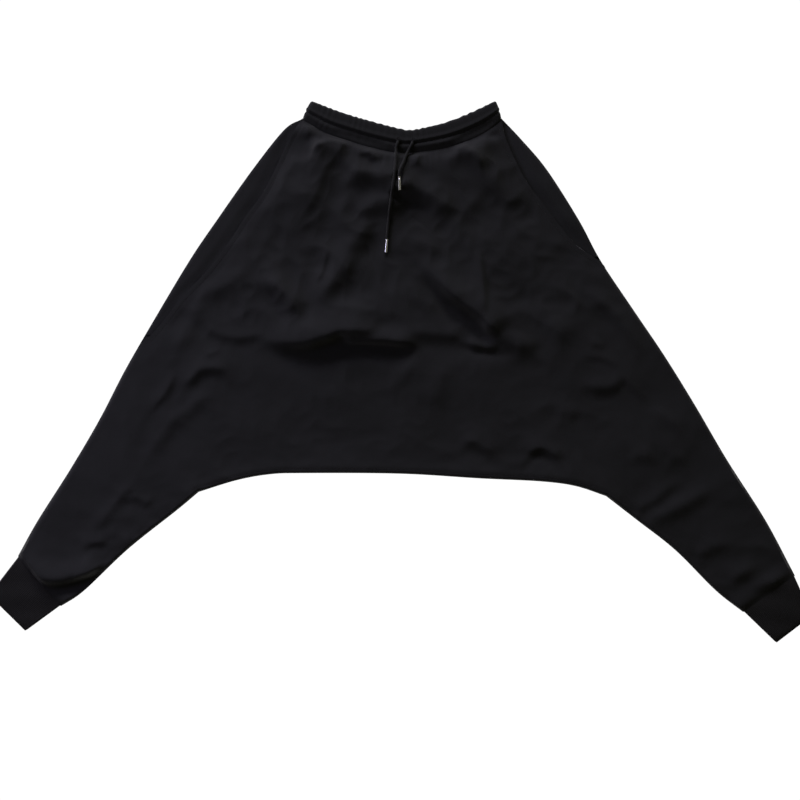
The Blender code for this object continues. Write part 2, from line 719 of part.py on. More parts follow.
def tip_mesh(name):
    """A crimped metal tube, along +Z from the cord's end."""
    turns = np.linspace(0, 2 * pi, TIP_SIDES, endpoint=False)
    points = [
        (row.radius * np.cos(t), row.radius * np.sin(t), row.share * TIP_LENGTH)
        for row in TIP_ROWS for t in turns
    ]
    faces = []
    for r in range(len(TIP_ROWS) - 1):
        for c in range(TIP_SIDES):
            a, b = r * TIP_SIDES + c, r * TIP_SIDES + (c + 1) % TIP_SIDES
            faces.append((a, b, b + TIP_SIDES, a + TIP_SIDES))
    last = (len(TIP_ROWS) - 1) * TIP_SIDES
    faces.append(tuple(range(TIP_SIDES - 1, -1, -1)))
    faces.append(tuple(range(last, last + TIP_SIDES)))
    return mesh_from(name, points, faces)


def tip_ends(line, trees):
    """A tip's two ends: straight on from its cord, and clear of the front all along."""
    near = line[-1][:2]
    way = near - line[-2][:2]
    far = near + way / np.linalg.norm(way) * TIP_LENGTH
    shares = np.linspace(0, 1, TIP_FINENESS)
    rest = np.array([
        resting_height(trees, *(near + (far - near) * share), TIP_ROWS[1].radius)
        for share in shares
    ])
    lift = (rest - rest[0] - (rest[-1] - rest[0]) * shares).max()
    return np.array([*near, rest[0] + lift]), np.array([*far, rest[-1] + lift])


def raised_to(line, start):
    """A cord's line, raised over its last stretch so that it runs into its tip."""
    length = np.linalg.norm(np.diff(line, axis=0), axis=1).sum()
    to_go = (1 - shares_along(line)) * length
    raised = line.copy()
    raised[:, 2] += (start[2] - line[-1][2]) * ease(1 - to_go / TIP_LIFT_RUN)
    return raised


def place_tip(tip, start, far):
    """Set a tip on the end of its cord."""
    direction = Vector(far - start).normalized()
    tip.location = (Vector(start) + direction * TIP_CLEAR) * MM
    tip.rotation_euler = direction.to_track_quat("Z", "Y").to_euler()


# ---------------------------------------------------------------- the garment


def main():
    for thing in list(bpy.data.objects):
        bpy.data.objects.remove(thing, do_unlink=True)

    jersey = finish_of("black jersey", BLACK_JERSEY, 0.95)
    inner_jersey = finish_of("black jersey, facing", BLACK_JERSEY, 0.95)
    band_jersey = finish_of("black jersey, gathered", BLACK_JERSEY, 0.93)
    rib = finish_of("black rib", BLACK_RIB, 0.95)
    braid = finish_of("black braid", BLACK_CORD, 0.85)
    steel = finish_of("polished steel", STEEL, 0.28, metallic=1.0)

    garment = bpy.data.objects.new("harem_pants", None)
    bpy.context.collection.objects.link(garment)

    plan = front_plan()
    front = front_panel(plan)
    band = waistband()
    add_object("back_panel", back_panel(), jersey, garment)
    add_object("front_panel", front, jersey, garment)
    add_object("waistband", band, band_jersey, garment)

    facing = pocket_facing("pocket_facing_right", plan[:, 0], OUTSIDE_RIGHT, -1)
    add_object("pocket_facing_right", facing, inner_jersey, garment)
    facing = pocket_facing("pocket_facing_left", plan[:, -1], OUTSIDE_LEFT, 1)
    add_object("pocket_facing_left", facing, inner_jersey, garment)

    for row in CUFFS:
        add_object("cuff_" + row.side, cuff(row), rib, garment)

    trees = []
    for mesh in (front, band):
        corners = [v.co for v in mesh.vertices]
        trees.append(BVHTree.FromPolygons(corners, [p.vertices for p in mesh.polygons]))
    for route in ROUTES:
        line = cord_line(route, trees)
        start, far = tip_ends(line, trees)
        cord = cord_curve(route.name, raised_to(line, start))
        add_object("drawstring_" + route.name, cord, braid, garment)
        tip = add_object("tip_" + route.name, tip_mesh("tip_" + route.name), steel, garment)
        place_tip(tip, start, far)


main()
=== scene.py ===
# %% [markdown]
# # Harem pants with a dropped crotch, laid flat
#
# Jersey is soft, so a pair of pants on a table is a stack of two thin sheets, and all that
# is seen of it is an outline, a few folds and a gathered waist. The engineering model
# already has the pieces at their real places and sizes. This script dresses them: it lays
# finer cloth on each piece, sews it, and gives each finish its own surface.
#
# Tables are in millimetres, as a maker would write them. Meshes are in metres.

# %% Load the fixed frame
from collections import namedtuple
from math import pi, radians

import bmesh
import bpy
import numpy as np
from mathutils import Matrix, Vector
from mathutils.bvhtree import BVHTree


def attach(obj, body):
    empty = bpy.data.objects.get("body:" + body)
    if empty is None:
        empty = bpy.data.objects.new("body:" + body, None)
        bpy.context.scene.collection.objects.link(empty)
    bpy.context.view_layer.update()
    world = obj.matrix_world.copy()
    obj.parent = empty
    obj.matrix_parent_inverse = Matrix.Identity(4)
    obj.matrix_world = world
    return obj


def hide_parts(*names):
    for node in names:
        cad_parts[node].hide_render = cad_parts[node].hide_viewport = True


MM = 0.001
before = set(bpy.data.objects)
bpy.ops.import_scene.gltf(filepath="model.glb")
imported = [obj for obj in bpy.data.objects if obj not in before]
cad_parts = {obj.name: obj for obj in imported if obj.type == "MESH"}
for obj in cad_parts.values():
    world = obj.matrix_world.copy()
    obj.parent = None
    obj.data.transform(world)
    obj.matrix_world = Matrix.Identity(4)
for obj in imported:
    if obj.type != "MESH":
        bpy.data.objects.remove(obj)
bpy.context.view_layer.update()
print("nodes:", len(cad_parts))

# %% [markdown]
# ## Camera
#
# The pants lie on the table and are looked at from straight above. A long lens from far
# away keeps the outline true, because nothing leans outwards in it.

# %% Camera, straight above the table
VIEW_WIDTH = 1360.0
VIEW_MIDDLE = (-0.9, -46.8)
CAMERA_HEIGHT = 4000.0

camera = bpy.data.objects.new("camera", bpy.data.cameras.new("camera"))
camera.data.lens = camera.data.sensor_width * CAMERA_HEIGHT / VIEW_WIDTH
camera.data.clip_end = 20
camera.location = (VIEW_MIDDLE[0] * MM, VIEW_MIDDLE[1] * MM, CAMERA_HEIGHT * MM)
bpy.context.collection.objects.link(camera)
bpy.context.scene.camera = camera
print("lens:", round(camera.data.lens, 1), "mm")

# %% [markdown]
# ## Lines and distances
#
# A pattern maker draws with a few points and a curved ruler. `smooth` is that ruler: it
# runs a Catmull-Rom curve through the points. The other helpers read places, shares and
# distances off such a line, and they take whole arrays at once, because a sheet of cloth
# has tens of thousands of points.

# %% Curves in the plane
FINE = 4.0


def smooth(points, step=FINE):
    """A Catmull-Rom curve through the points, with a point about every step."""
    p = np.array(points, float)
    ends = np.vstack([2 * p[0] - p[1], p, 2 * p[-1] - p[-2]])
    pieces = []
    for i in range(1, len(ends) - 2):
        a, b, c, d = ends[i - 1:i + 3]
        count = max(int(np.linalg.norm(c - b) / step), 1)
        t = (np.arange(count) / count)[:, None]
        pieces.append(
            0.5 * (2 * b + (c - a) * t + (2 * a - 5 * b + 4 * c - d) * t ** 2
                   + (3 * b - a - 3 * c + d) * t ** 3)
        )
    return np.vstack(pieces + [p[-1:]])


def run_along(line):
    """How far along a line each of its points is."""
    steps = np.linalg.norm(np.diff(line, axis=0), axis=1)
    return np.concatenate([[0], np.cumsum(steps)])


def length_of(line):
    """The length of a line."""
    return float(run_along(line)[-1])


def shares_along(line):
    """The share of a line's length at each of its points."""
    return run_along(line) / length_of(line)


def at_shares(line, shares):
    """Points of a line at shares of its length."""
    have = shares_along(line)
    return np.column_stack([np.interp(shares, have, column) for column in line.T])


def shortened(line, by):
    """A line with its two ends drawn in."""
    return at_shares(line, np.linspace(by, length_of(line) - by, len(line)) / length_of(line))


def headings(line):
    """The direction of a line at each of its points."""
    run = np.gradient(line, axis=0)
    return run / np.linalg.norm(run, axis=1, keepdims=True)


def full_turn(count):
    """Angles all the way round."""
    return np.linspace(0, 2 * pi, count, endpoint=False)


print("points round a drawn corner:", len(smooth(((0, 0), (40, 0), (40, 40)))))


# %% Distances, steps and roundings
def distance_to(x, y, *lines):
    """How far each place is from the nearest of some lines."""
    nearest = np.full(x.shape, np.inf)
    for line in lines:
        for a, b in zip(line[:-1], line[1:]):
            length = np.linalg.norm(b - a)
            ux, uy = (b - a) / length
            px, py = x - a[0], y - a[1]
            t = np.clip(px * ux + py * uy, 0, length)
            nearest = np.minimum(nearest, np.hypot(px - t * ux, py - t * uy))
    return nearest


def ease(t):
    """A smooth step from 0 to 1."""
    t = np.clip(t, 0, 1)
    return t * t * (3 - 2 * t)


def ramp(value, start, end):
    """A smooth step from 0 at start to 1 at end."""
    return ease((value - start) / (end - start))


def bump(t):
    """1 in the middle, fading to nothing about 2 away."""
    return np.exp(-t ** 2)


def quarter_round(distance, width):
    """0 at an edge, 1 from width inwards, rounded like a rolled edge between."""
    t = np.clip(distance / width, 0, 1)
    return np.sqrt(1 - (1 - t) ** 2)


def chance_relief(x, y, wavelength, seed, waves=28):
    """A smooth random relief, mostly between -1 and 1: many waves that run all ways."""
    rng = np.random.default_rng(seed)
    relief = np.zeros(x.shape)
    for _ in range(waves):
        angle, phase = rng.uniform(0, 2 * pi, 2)
        k = 2 * pi / (wavelength * rng.uniform(0.7, 1.5))
        relief += np.cos(k * (x * np.cos(angle) + y * np.sin(angle)) + phase)
    return relief / np.sqrt(waves)


def crumpled(x, y, wavelength, seed):
    """Random facets that meet in soft ridges, as in cloth that was folded away."""
    return 0.9 - 1.8 * np.sqrt(chance_relief(x, y, wavelength, seed) ** 2 + 0.03)


print("a smooth step at its quarters:", ease(np.array((0.25, 0.5, 0.75))))

# %% [markdown]
# ## The cut
#
# The outline follows the sewn edges: the outside of each leg, the inseams, the low crotch
# and the curved waist seam. "Right" and "left" are the wearer's, so the right leg is the
# one at negative X. The front is narrower than the outline at the hips, because its
# pocket edges are set in, and a facing shows there.

# %% Seams and edges
OUTSIDE_RIGHT = smooth((
    (-167, 431), (-198, 412), (-252, 344), (-312, 259), (-358, 191), (-419, 89),
    (-468, 4), (-512, -81), (-562, -166), (-616, -251), (-650, -312),
))
OUTSIDE_LEFT = smooth((
    (172, 431), (206, 395), (249, 344), (303, 259), (340, 190), (398, 103),
    (448, 29), (500, -55), (555, -149), (620, -251), (670, -345),
))
INSEAM_RIGHT = smooth(((-577, -397), (-538, -371), (-463, -300), (-380, -234), (-343, -203)))
INSEAM_LEFT = smooth(((582, -407), (535, -370), (467, -302), (402, -251), (349, -210)))
CROTCH = smooth((
    (-343, -203), (-278, -183), (-222, -173), (-165, -171), (-1, -172),
    (135, -180), (237, -185), (297, -193), (349, -210),
))
WAIST_SEAM = smooth((
    (-167, 431), (-130, 408), (-90, 394), (-50, 382), (0, 373),
    (50, 377), (90, 385), (125, 398), (150, 412), (172, 431),
))
BAND_TOP = smooth((
    (-150, 460), (-100, 441), (-50, 426), (0, 413), (18, 411),
    (45, 416), (80, 425), (120, 441), (160, 460),
))
HEM_RIGHT = np.array(((-650, -312), (-577, -397)), float)
HEM_LEFT = np.array(((582, -407), (670, -345)), float)
POCKET_RIGHT = smooth((
    (-167, 431), (-176, 417), (-191, 392), (-213, 344), (-235, 302), (-264, 263),
    (-292, 220), (-330, 171), (-372, 127), (-412, 76), (-446, 42),
))
POCKET_LEFT = smooth((
    (172, 431), (176, 405), (188, 375), (212, 327), (237, 293), (263, 259),
    (297, 217), (322, 200), (345, 183),
))
print("outside of the right leg:", round(length_of(OUTSIDE_RIGHT)), "mm")

# %% Sides of the front, and of a panel's lower edge
def below(line, y):
    """The part of a falling line that lies under a height."""
    return line[line[:, 1] < y - FINE]


SIDE_RIGHT = np.vstack([POCKET_RIGHT, below(OUTSIDE_RIGHT, POCKET_RIGHT[-1, 1])])
SIDE_LEFT = np.vstack([POCKET_LEFT, below(OUTSIDE_LEFT, POCKET_LEFT[-1, 1])])


def lower_edge(hem_cells, inseam_cells, crotch_cells):
    """The lower edge of a panel, hem to hem, with a point on each corner."""
    runs = (
        (HEM_RIGHT, hem_cells), (INSEAM_RIGHT, inseam_cells), (CROTCH, crotch_cells),
        (INSEAM_LEFT[::-1], inseam_cells), (HEM_LEFT, hem_cells),
    )
    points = [at_shares(line, np.linspace(0, 1, n + 1))[:-1] for line, n in runs]
    return np.vstack(points + [HEM_LEFT[-1:]])


print("sides of the front:", [round(length_of(side)) for side in (SIDE_RIGHT, SIDE_LEFT)], "mm")

# %% [markdown]
# ## A sheet between four edges
#
# A panel has four edges, so its inside can be blended from them. This is a Coons patch:
# the blend from top to bottom, plus the one from side to side, less the one between the
# four corners. The rows are closer together at the ends, where the edges are rounded.

# %% Points over a panel
def panel_plan(side_right, side_left, bottom, rows):
    """Points over a panel: rows from the waist seam down, columns from the right leg on."""
    u = shares_along(bottom)[None, :, None]
    v = rows[:, None, None]
    top = at_shares(WAIST_SEAM, u.ravel())[None]
    low = bottom[None]
    right = at_shares(side_right, rows)[:, None]
    left = at_shares(side_left, rows)[:, None]
    corners = (
        (1 - u) * (1 - v) * top[:, :1] + u * (1 - v) * top[:, -1:]
        + (1 - u) * v * low[:, :1] + u * v * low[:, -1:]
    )
    return (1 - v) * top + v * low + (1 - u) * right + u * left - corners


def crowded_ends(cells, crowding=0.75):
    """Shares from 0 to 1, closer together at both ends."""
    t = np.linspace(0, 1, cells + 1)
    return t - crowding * np.sin(2 * pi * t) / (2 * pi)


print("shares of six cells:", crowded_ends(6).round(2))

# %% [markdown]
# ## Folds
#
# Jersey keeps a few large folds and many faint creases. A cloth simulation would drape
# them anywhere, so each one is listed instead, as one row of a table. A fold runs
# along a line. `crest` is its height, negative for a groove, and `to_left` and `to_right`
# say how far it spreads on each hand when one walks along the line. It fades in over the
# first `start` of its line, and out over the last `end`. A fold that has flopped over also
# hangs to its right hand by `lean`, above a dip that is `hollow` deep at `reach`.

# %% Fold table
Fold = namedtuple(
    "Fold", "name crest to_left to_right start end line hollow reach lean", defaults=(0, 10, 0))

FOLDS = (
    # under the waistband
    Fold("ridge under the band, right hip", 8.0, 8, 16, 0.3, 0.3, ((-204, 394), (-186, 410),
        (-160, 416), (-136, 409)), 1, 26),
    Fold("narrow pleat", 5.5, 7, 12, 0.35, 0.2, ((-158, 348), (-148, 371), (-136, 396))),
    Fold("hip ridge, right", 6.2, 60, 13, 0.55, 0.35, ((-208, 208), (-188, 242), (-164, 274),
        (-147, 302), (-136, 329), (-128, 355), (-118, 384), (-102, 400)), 1, 22),
    Fold("shade of the hip ridge", 10.5, 8, 30, 0.3, 0.3, ((-156, 370), (-138, 384), (-118, 390),
        (-98, 388), (-82, 376))),
    Fold("puff under the band", 3.6, 9, 15, 0.3, 0.4, ((-92, 366), (-78, 378), (-60, 376),
        (-44, 368))),
    Fold("dent in the bulge", 4.6, 9, 8, 0.35, 0.35, ((-66, 380), (-48, 370), (-32, 356)), 3, 13),
    Fold("bulge beside the cord", 11.0, 15, 21, 0.3, 0.1, ((-98, 341), (-82, 340), (-62, 339),
        (-38, 337), (-6, 331)), 1, 34),
    Fold("pleat beside the short cord", 4.0, 7, 9, 0.3, 0.4, ((36, 383), (30, 366), (24, 346))),
    Fold("tuck under the band", 9.0, 8, 27, 0.4, 0.4, ((86, 383), (102, 388), (120, 385))),
    Fold("hip ridge, left", 9.5, 24, 22, 0.12, 0.7, ((118, 396), (127, 374), (140, 351),
        (154, 329), (169, 311), (187, 297), (212, 289), (238, 289)), 1, 30),
    Fold("pleat, left hip", 4.0, 10, 12, 0.3, 0.4, ((110, 386), (127, 366), (145, 346))),
    Fold("dip under the band, left hip", -5.0, 12, 7, 0.3, 0.3, ((108, 392), (132, 400),
        (160, 402), (182, 398))),
    Fold("dip at the seam, right", -2.6, 6, 7, 0.3, 0.3, ((-112, 394), (-92, 388), (-70, 381),
        (-46, 375))),
    Fold("dip at the seam, left", -2.6, 7, 6, 0.3, 0.3, ((38, 369), (62, 371), (88, 376),
        (108, 382))),
    # the belly, above the great fold
    Fold("arch, right half", 9.2, 18, 24, 0.35, 0.15, ((-78, 250), (-72, 266), (-58, 281),
        (-36, 291), (-8, 298)), 5, 46),
    Fold("arch, right flank", 6.0, 26, 22, 0.35, 0.3, ((-90, 196), (-84, 216), (-79, 238),
        (-75, 256), (-71, 272))),
    Fold("fan", 11.0, 20, 20, 0.35, 0.35, ((-152, 108), (-134, 132), (-114, 158), (-98, 184),
        (-86, 212), (-78, 244))),
    Fold("arch, left half", 10.5, 16, 19, 0.12, 0.35, ((-8, 328), (17, 321), (42, 309), (65, 295),
        (88, 281), (106, 266)), 2, 36, 3),
    Fold("hollow under the arch", -5.0, 16, 13, 0.3, 0.4, ((-6, 284), (20, 286), (46, 280),
        (72, 268))),
    Fold("thin crease beside the fan", 3.6, 10, 6, 0.35, 0.35, ((-149, 145), (-136, 167),
        (-129, 191), (-125, 217))),
    Fold("three-cornered fold", 14.0, 22, 18, 0.35, 0.4, ((-244, 169), (-222, 159), (-205, 144),
        (-191, 127), (-177, 109), (-160, 89)), 2, 24),
    Fold("slanting fold", 17.0, 30, 13.5, 0.6, 0.14, ((14, 214), (36, 190), (58, 168), (80, 146),
        (102, 126), (124, 111), (143, 96), (158, 79), (178, 64)), 9.5, 24, 2.5),
    Fold("ridge after the slanting fold", 3.2, 10, 17, 0.25, 0.5, ((162, 66), (186, 64), (210, 55),
        (236, 41))),
    Fold("upright crease", 5.0, 15, 6, 0.25, 0.35, ((142, 96), (141, 124), (139, 152), (135, 182),
        (129, 216))),
    Fold("soft ridge above the slanting fold", 3.8, 14, 16, 0.4, 0.4, ((-6, 232), (24, 224),
        (60, 210), (84, 192))),
    # the great fold across the belly
    Fold("great fold, right end", 4.0, 20, 10, 0.4, 0.25, ((-350, 114), (-338, 92), (-318, 72),
        (-296, 64), (-272, 62), (-248, 66), (-222, 70)), 1, 17),
    Fold("great fold", 19.0, 38, 13, 0.5, 0.25, ((-262, 66), (-226, 59), (-190, 56), (-158, 59),
        (-132, 67), (-106, 76), (-76, 79), (-48, 77), (-20, 74)), 8, 32, 5),
    Fold("great fold, tongue", 12.0, 16, 10, 0.15, 0.35, ((-104, 63), (-78, 59), (-50, 59),
        (-18, 58), (14, 53), (44, 43)), 6, 20, 3),
    Fold("great fold, left end", 4.2, 20, 13, 0.35, 0.3, ((0, 78), (32, 72), (62, 67), (96, 64),
        (120, 60)), 2, 26),
    Fold("short fold at the end", 6.4, 12, 9, 0.3, 0.3, ((108, 59), (126, 51), (146, 47),
        (172, 47)), 3, 13, 2),
    # the left side and leg
    Fold("soft groove, left thigh", 7.5, 38, 20, 0.35, 0.35, ((212, 126), (240, 110), (260, 88),
        (273, 66), (295, 42))),
    Fold("soft crease, left hip", 1.8, 9, 6, 0.4, 0.4, ((146, 131), (174, 129), (206, 127))),
    Fold("dimple, left thigh", 3.6, 14, 20, 0.4, 0.4, ((186, 40), (210, 46), (238, 41)), 1, 30),
    Fold("short crease, left thigh, upper", 2.4, 8, 7, 0.4, 0.4, ((316, 48), (332, 49),
        (352, 44))),
    Fold("short crease, left thigh, lower", 2.4, 10, 8, 0.3, 0.4, ((302, 27), (326, 28), (346, 25),
        (362, 16), (380, 4))),
    Fold("roof-shaped crease", 3.6, 14, 11, 0.3, 0.35, ((300, -20), (330, -24), (352, -24),
        (370, -14), (382, -10), (396, -24), (412, -40), (430, -56)), 1, 18),
    Fold("streak below the roof", 2.6, 10, 12, 0.35, 0.45, ((420, -57), (448, -73), (484, -99))),
    Fold("side fold, left thigh", 5.0, 16, 12, 0.3, 0.35, ((303, 156), (329, 132), (353, 112),
        (370, 91), (386, 71), (402, 49), (418, 25))),
    Fold("knee dent, inner", 3.2, 14, 14, 0.4, 0.35, ((384, -137), (410, -139), (434, -133))),
    Fold("knee dent, outer", 3.0, 13, 13, 0.4, 0.4, ((448, -144), (472, -143), (492, -140))),
    Fold("knee crease, left leg", 3.3, 14, 11, 0.15, 0.45, ((395, -236), (413, -224), (431, -213),
        (447, -200), (467, -189), (491, -182)), 1, 16),
    Fold("shin crease, left leg", 4.5, 14, 16, 0.2, 0.45, ((412, -255), (434, -244), (458, -233),
        (478, -222), (502, -208), (528, -197), (560, -193)), 1, 26),
    Fold("ankle crease, left leg", 3.8, 16, 15, 0.25, 0.45, ((494, -314), (516, -300), (540, -291),
        (580, -286)), 1, 22),
    Fold("crease above the left cuff, inner", 4.2, 14, 15, 0.3, 0.4, ((548, -352), (574, -342),
        (596, -328), (612, -314)), 1, 20),
    Fold("crease above the left cuff, outer", 3.0, 12, 14, 0.3, 0.3, ((588, -362), (612, -358),
        (634, -352), (652, -334)), 1, 18),
    # the right side and leg
    Fold("ridge beside the pocket", 3.8, 14, 18, 0.25, 0.45, ((-380, 14), (-377, 40), (-364, 74),
        (-350, 102), (-336, 128), (-310, 176))),
    Fold("groove along the pocket, right", -5.0, 12, 10, 0.3, 0.35, ((-290, 214), (-318, 186),
        (-341, 156), (-356, 126))),
    Fold("small marks, right thigh", 1.6, 7, 6, 0.35, 0.4, ((-336, 30), (-318, 34), (-300, 43))),
    Fold("thigh crease, right leg, outer", 2.8, 11, 7, 0.4, 0.3, ((-436, -70), (-414, -50),
        (-401, -35), (-392, -18), (-388, 4)), 1, 12),
    Fold("thigh crease, right leg, inner", 5.0, 12, 12, 0.3, 0.3, ((-376, -32), (-361, -14),
        (-343, 5), (-322, 10), (-300, 7), (-281, -4)), 2, 18, 1),
    Fold("long crease, right leg, upper", 4.0, 14, 16, 0.35, 0.35, ((-446, -166), (-424, -134),
        (-404, -104), (-384, -78), (-364, -65), (-344, -47), (-318, -41), (-284, -48))),
    Fold("long crease, right leg, lower", 3.0, 11, 12, 0.25, 0.4, ((-530, -278), (-508, -250),
        (-488, -226), (-472, -206), (-456, -190), (-440, -166))),
    Fold("short dent, right knee", 2.6, 10, 9, 0.3, 0.35, ((-462, -206), (-444, -212),
        (-416, -224)), 1, 15),
    Fold("ankle dent, right leg", 3.4, 14, 8, 0.3, 0.3, ((-548, -297), (-526, -288),
        (-492, -285)), 1, 14),
    Fold("ankle ridge, right leg", 2.2, 10, 11, 0.35, 0.35, ((-502, -262), (-478, -276),
        (-448, -288))),
    Fold("fold over the right cuff", 12.5, 26, 10, 0.2, 0.2, ((-662, -330), (-634, -341),
        (-608, -347), (-582, -349), (-553, -343), (-524, -332), (-500, -317)), 7, 16, 2),
    # along the crotch
    Fold("shallow crotch dent", 4.6, 18, 14, 0.35, 0.35, ((94, -120), (124, -115), (148, -127),
        (172, -140)), 2, 22),
    Fold("deep crotch dent", 5.6, 18, 12, 0.3, 0.3, ((204, -140), (222, -129), (242, -125),
        (261, -135), (278, -150)), 3, 18, 1),
    Fold("round dent", 3.4, 14, 24, 0.4, 0.4, ((258, -74), (280, -68), (302, -80))),
    Fold("soft ridge, middle", 2.4, 14, 16, 0.35, 0.35, ((-41, -43), (-11, -21), (13, 9),
        (33, 43))),
    Fold("soft ridge, lower middle", 2.6, 18, 16, 0.35, 0.35, ((40, -66), (58, -40), (70, -8),
        (84, 30))),
)
print("folds placed by hand:", len(FOLDS))

# %% [markdown]
# A place beside a bent line has more than one nearest point on it, and a fold that used
# only the very nearest would show a hard edge there. So every point of the line has a
# say, and the nearer it is the louder. The same weights give the hand on which the fold
# hangs over, and that moves the cloth sideways, which makes a real overhang.

# %% Height and lean of a fold
BESIDE_REACH = 3.2      # widths of a fold past which it no longer shows
SOFTNESS = 0.3          # how far the say of the line's points spreads, by distance
CREST_BEND = 1.6        # 2 for a round crest, less for one with a bend in it
PAST_ENDS = 24.0        # how far a fold runs out past the ends of its line


def fold_shape(fold, x, y):
    """What one fold adds to the height, and how far it pushes the cloth in x and in y."""
    line = smooth(fold.line, 3.0)
    run = headings(line)
    margin = BESIDE_REACH * max(fold.to_left, fold.to_right, fold.reach)
    low, high = line.min(axis=0) - margin, line.max(axis=0) + margin
    near = (x > low[0]) & (x < high[0]) & (y > low[1]) & (y < high[1])
    dx = x[near][:, None] - line[:, 0]
    dy = y[near][:, None] - line[:, 1]
    away = np.hypot(dx, dy)
    nearest = away.min(axis=1, keepdims=True)
    say = np.exp((nearest - away) / (2 + SOFTNESS * nearest))
    say /= say.sum(axis=1, keepdims=True)
    share = say @ shares_along(line)
    to_left = (say * (dy * run[:, 0] - dx * run[:, 1])).sum(axis=1)
    past_end = np.sqrt(np.clip(nearest.ravel() ** 2 - to_left ** 2, 0, None))
    on_left = to_left > 0
    spread = np.where(on_left, fold.to_left, fold.to_right)
    fade = ease(share / fold.start) * ease((1 - share) / fold.end) * bump(past_end / PAST_ENDS)
    under = np.clip(-to_left, 0, None) / fold.reach
    height = fold.crest * np.exp(-abs(to_left / spread) ** np.where(on_left, CREST_BEND, 2))
    height -= fold.hollow * under ** 2 * np.exp(1 - under ** 2)
    push = fold.lean * bump((to_left + 0.4 * fold.to_right) / (1.2 * fold.to_right)) * fade
    result = np.zeros((3,) + x.shape)
    result[0][near] = height * fade
    result[1][near] = push * (say @ run[:, 1])
    result[2][near] = -push * (say @ run[:, 0])
    return result


highest_fold = max(FOLDS, key=lambda fold: fold.crest)
print("highest:", highest_fold.name, "at", highest_fold.crest, "mm")

# %% [markdown]
# ## How high the cloth lies
#
# The back is one layer on the table, and the front lies on it. Along the sewn edges the
# cloth rolls down to meet the back. The crotch is cut full, so its roll is narrow and high,
# and each leg is full just above its cuff: `SWELLS` gives each such swell its height, its
# distance inside an edge, and its width. Under the waistband the cloth is gathered, so
# small ridges run down from the seam, no two alike. A height worked out for every point
# keeps the front clear of the layers below, which a sculpted mesh would not.

# %% Heights over the table
BACK_TOP = 2.0
LOWEST_INSIDE = 2.3
THICKNESS = 1.9
LEAST_WALL = 0.2
SEAM_Z = 2.6              # where the front's rolled edge meets the back
PLATEAU = 8.5
SIDE_ROLL = 6.0
CROTCH_ROLL = 3.2
HEM_ROLL = 0.35           # the share of its height that the cloth loses at a cuff
WAIST_SEAM_Z = 8.0
WAIST_HOLD = 6.0          # how far from its seam the waistband holds the cloth at that height
HEM_Z = 6.9               # where a leg meets its cuff
HEM_HOLD = 5.0            # and how far from its seam a cuff holds the leg
SEAM_LAP = 0.8            # how far a band or a cuff laps over the edge it is sewn to
POCKET_EDGE_Z = 5.3
POCKET_ROLL = 3.0
POCKET_LIP = 0.8          # how far its edge rolls up
POCKET_MOUTH = 26.0       # how far from its edge a pocket mouth lies lower
MOUTH_SHARE = 0.45        # and how much of the height behind it a mouth keeps
POCKET_STITCH = 7.0
CROTCH_STITCH = 8.0
FACING_Z = 4.1
FACING_UNDER = 11.0       # how far the facing goes on under the front
FACING_CLEAR = 0.3
REST_SOFTNESS = 1.2       # how gently a dip comes to rest on the layer below
WAIST_RISE = 3.5          # how much higher the cloth lies near the waist
BELLY_RISE = 4.0          # how much more it swells in the middle of the belly
WANDER = 1.5              # its slow waves, where nothing holds it
PUCKER = 0.35             # its little waves beside the sewn edges
PUSH_FREE = 20.0          # how far inside the edges a fold's sideways push is whole

Swell = namedtuple("Swell", "edge height inside width")

UNDER_BAND = Swell("waist", -1.4, 12.0, 8.0)
POCKET_GROOVE = Swell("pockets", -0.7, POCKET_STITCH, 2.0)
SWELLS = (
    Swell("crotch", 3.0, 9.0, 30.0),
    Swell("crotch", 1.2, 9.0, 10.0),
    Swell("crotch", -0.3, CROTCH_STITCH, 1.8),
    Swell("hems", 3.0, 16.0, 16.0),
    Swell("inseams", 1.2, 0.0, 24.0),
)
EDGES = {
    "pockets": (POCKET_RIGHT, POCKET_LEFT), "outside": (OUTSIDE_RIGHT, OUTSIDE_LEFT),
    "inseams": (INSEAM_RIGHT, INSEAM_LEFT), "crotch": (CROTCH,), "waist": (WAIST_SEAM,),
    "hems": (HEM_RIGHT, HEM_LEFT),
}


def swollen(swell, off):
    """What a swell adds to the height, by the distances from the edges."""
    return swell.height * bump((off[swell.edge] - swell.inside) / swell.width)


print("swells:", len(SWELLS), "along the edges, and two at the pockets and the waistband")

# %% Gathers under the waist seam
Gather = namedtuple("Gather", "share height width length slant")


def gathers(count, seed):
    """Small ridges that run down from the waist seam, each a little different."""
    rng = np.random.default_rng(seed)
    rows = []
    for i in range(count):
        share = (i + 0.5 + rng.uniform(-0.3, 0.3)) / count
        rows.append(Gather(
            share, rng.uniform(0.3, 1.5), rng.uniform(3.0, 5.6),
            rng.uniform(18, 62), (share - 0.5) * 0.7 + rng.uniform(-0.12, 0.12)))
    return rows


GATHERS = gathers(34, seed=5)


def gather_height(x, y):
    """The ridges under the waist seam."""
    height = np.zeros(x.shape)
    for g in GATHERS:
        top = at_shares(WAIST_SEAM, [g.share])[0]
        down = top[1] - y
        aside = (x - top[0] - g.slant * down) / (g.width * (1 + np.clip(down, 0, None) / 60))
        height += g.height * bump(aside) * ease(1 - down / g.length) * (down > -20)
    return height


print("gathers, longest:", round(max(g.length for g in GATHERS)), "mm")

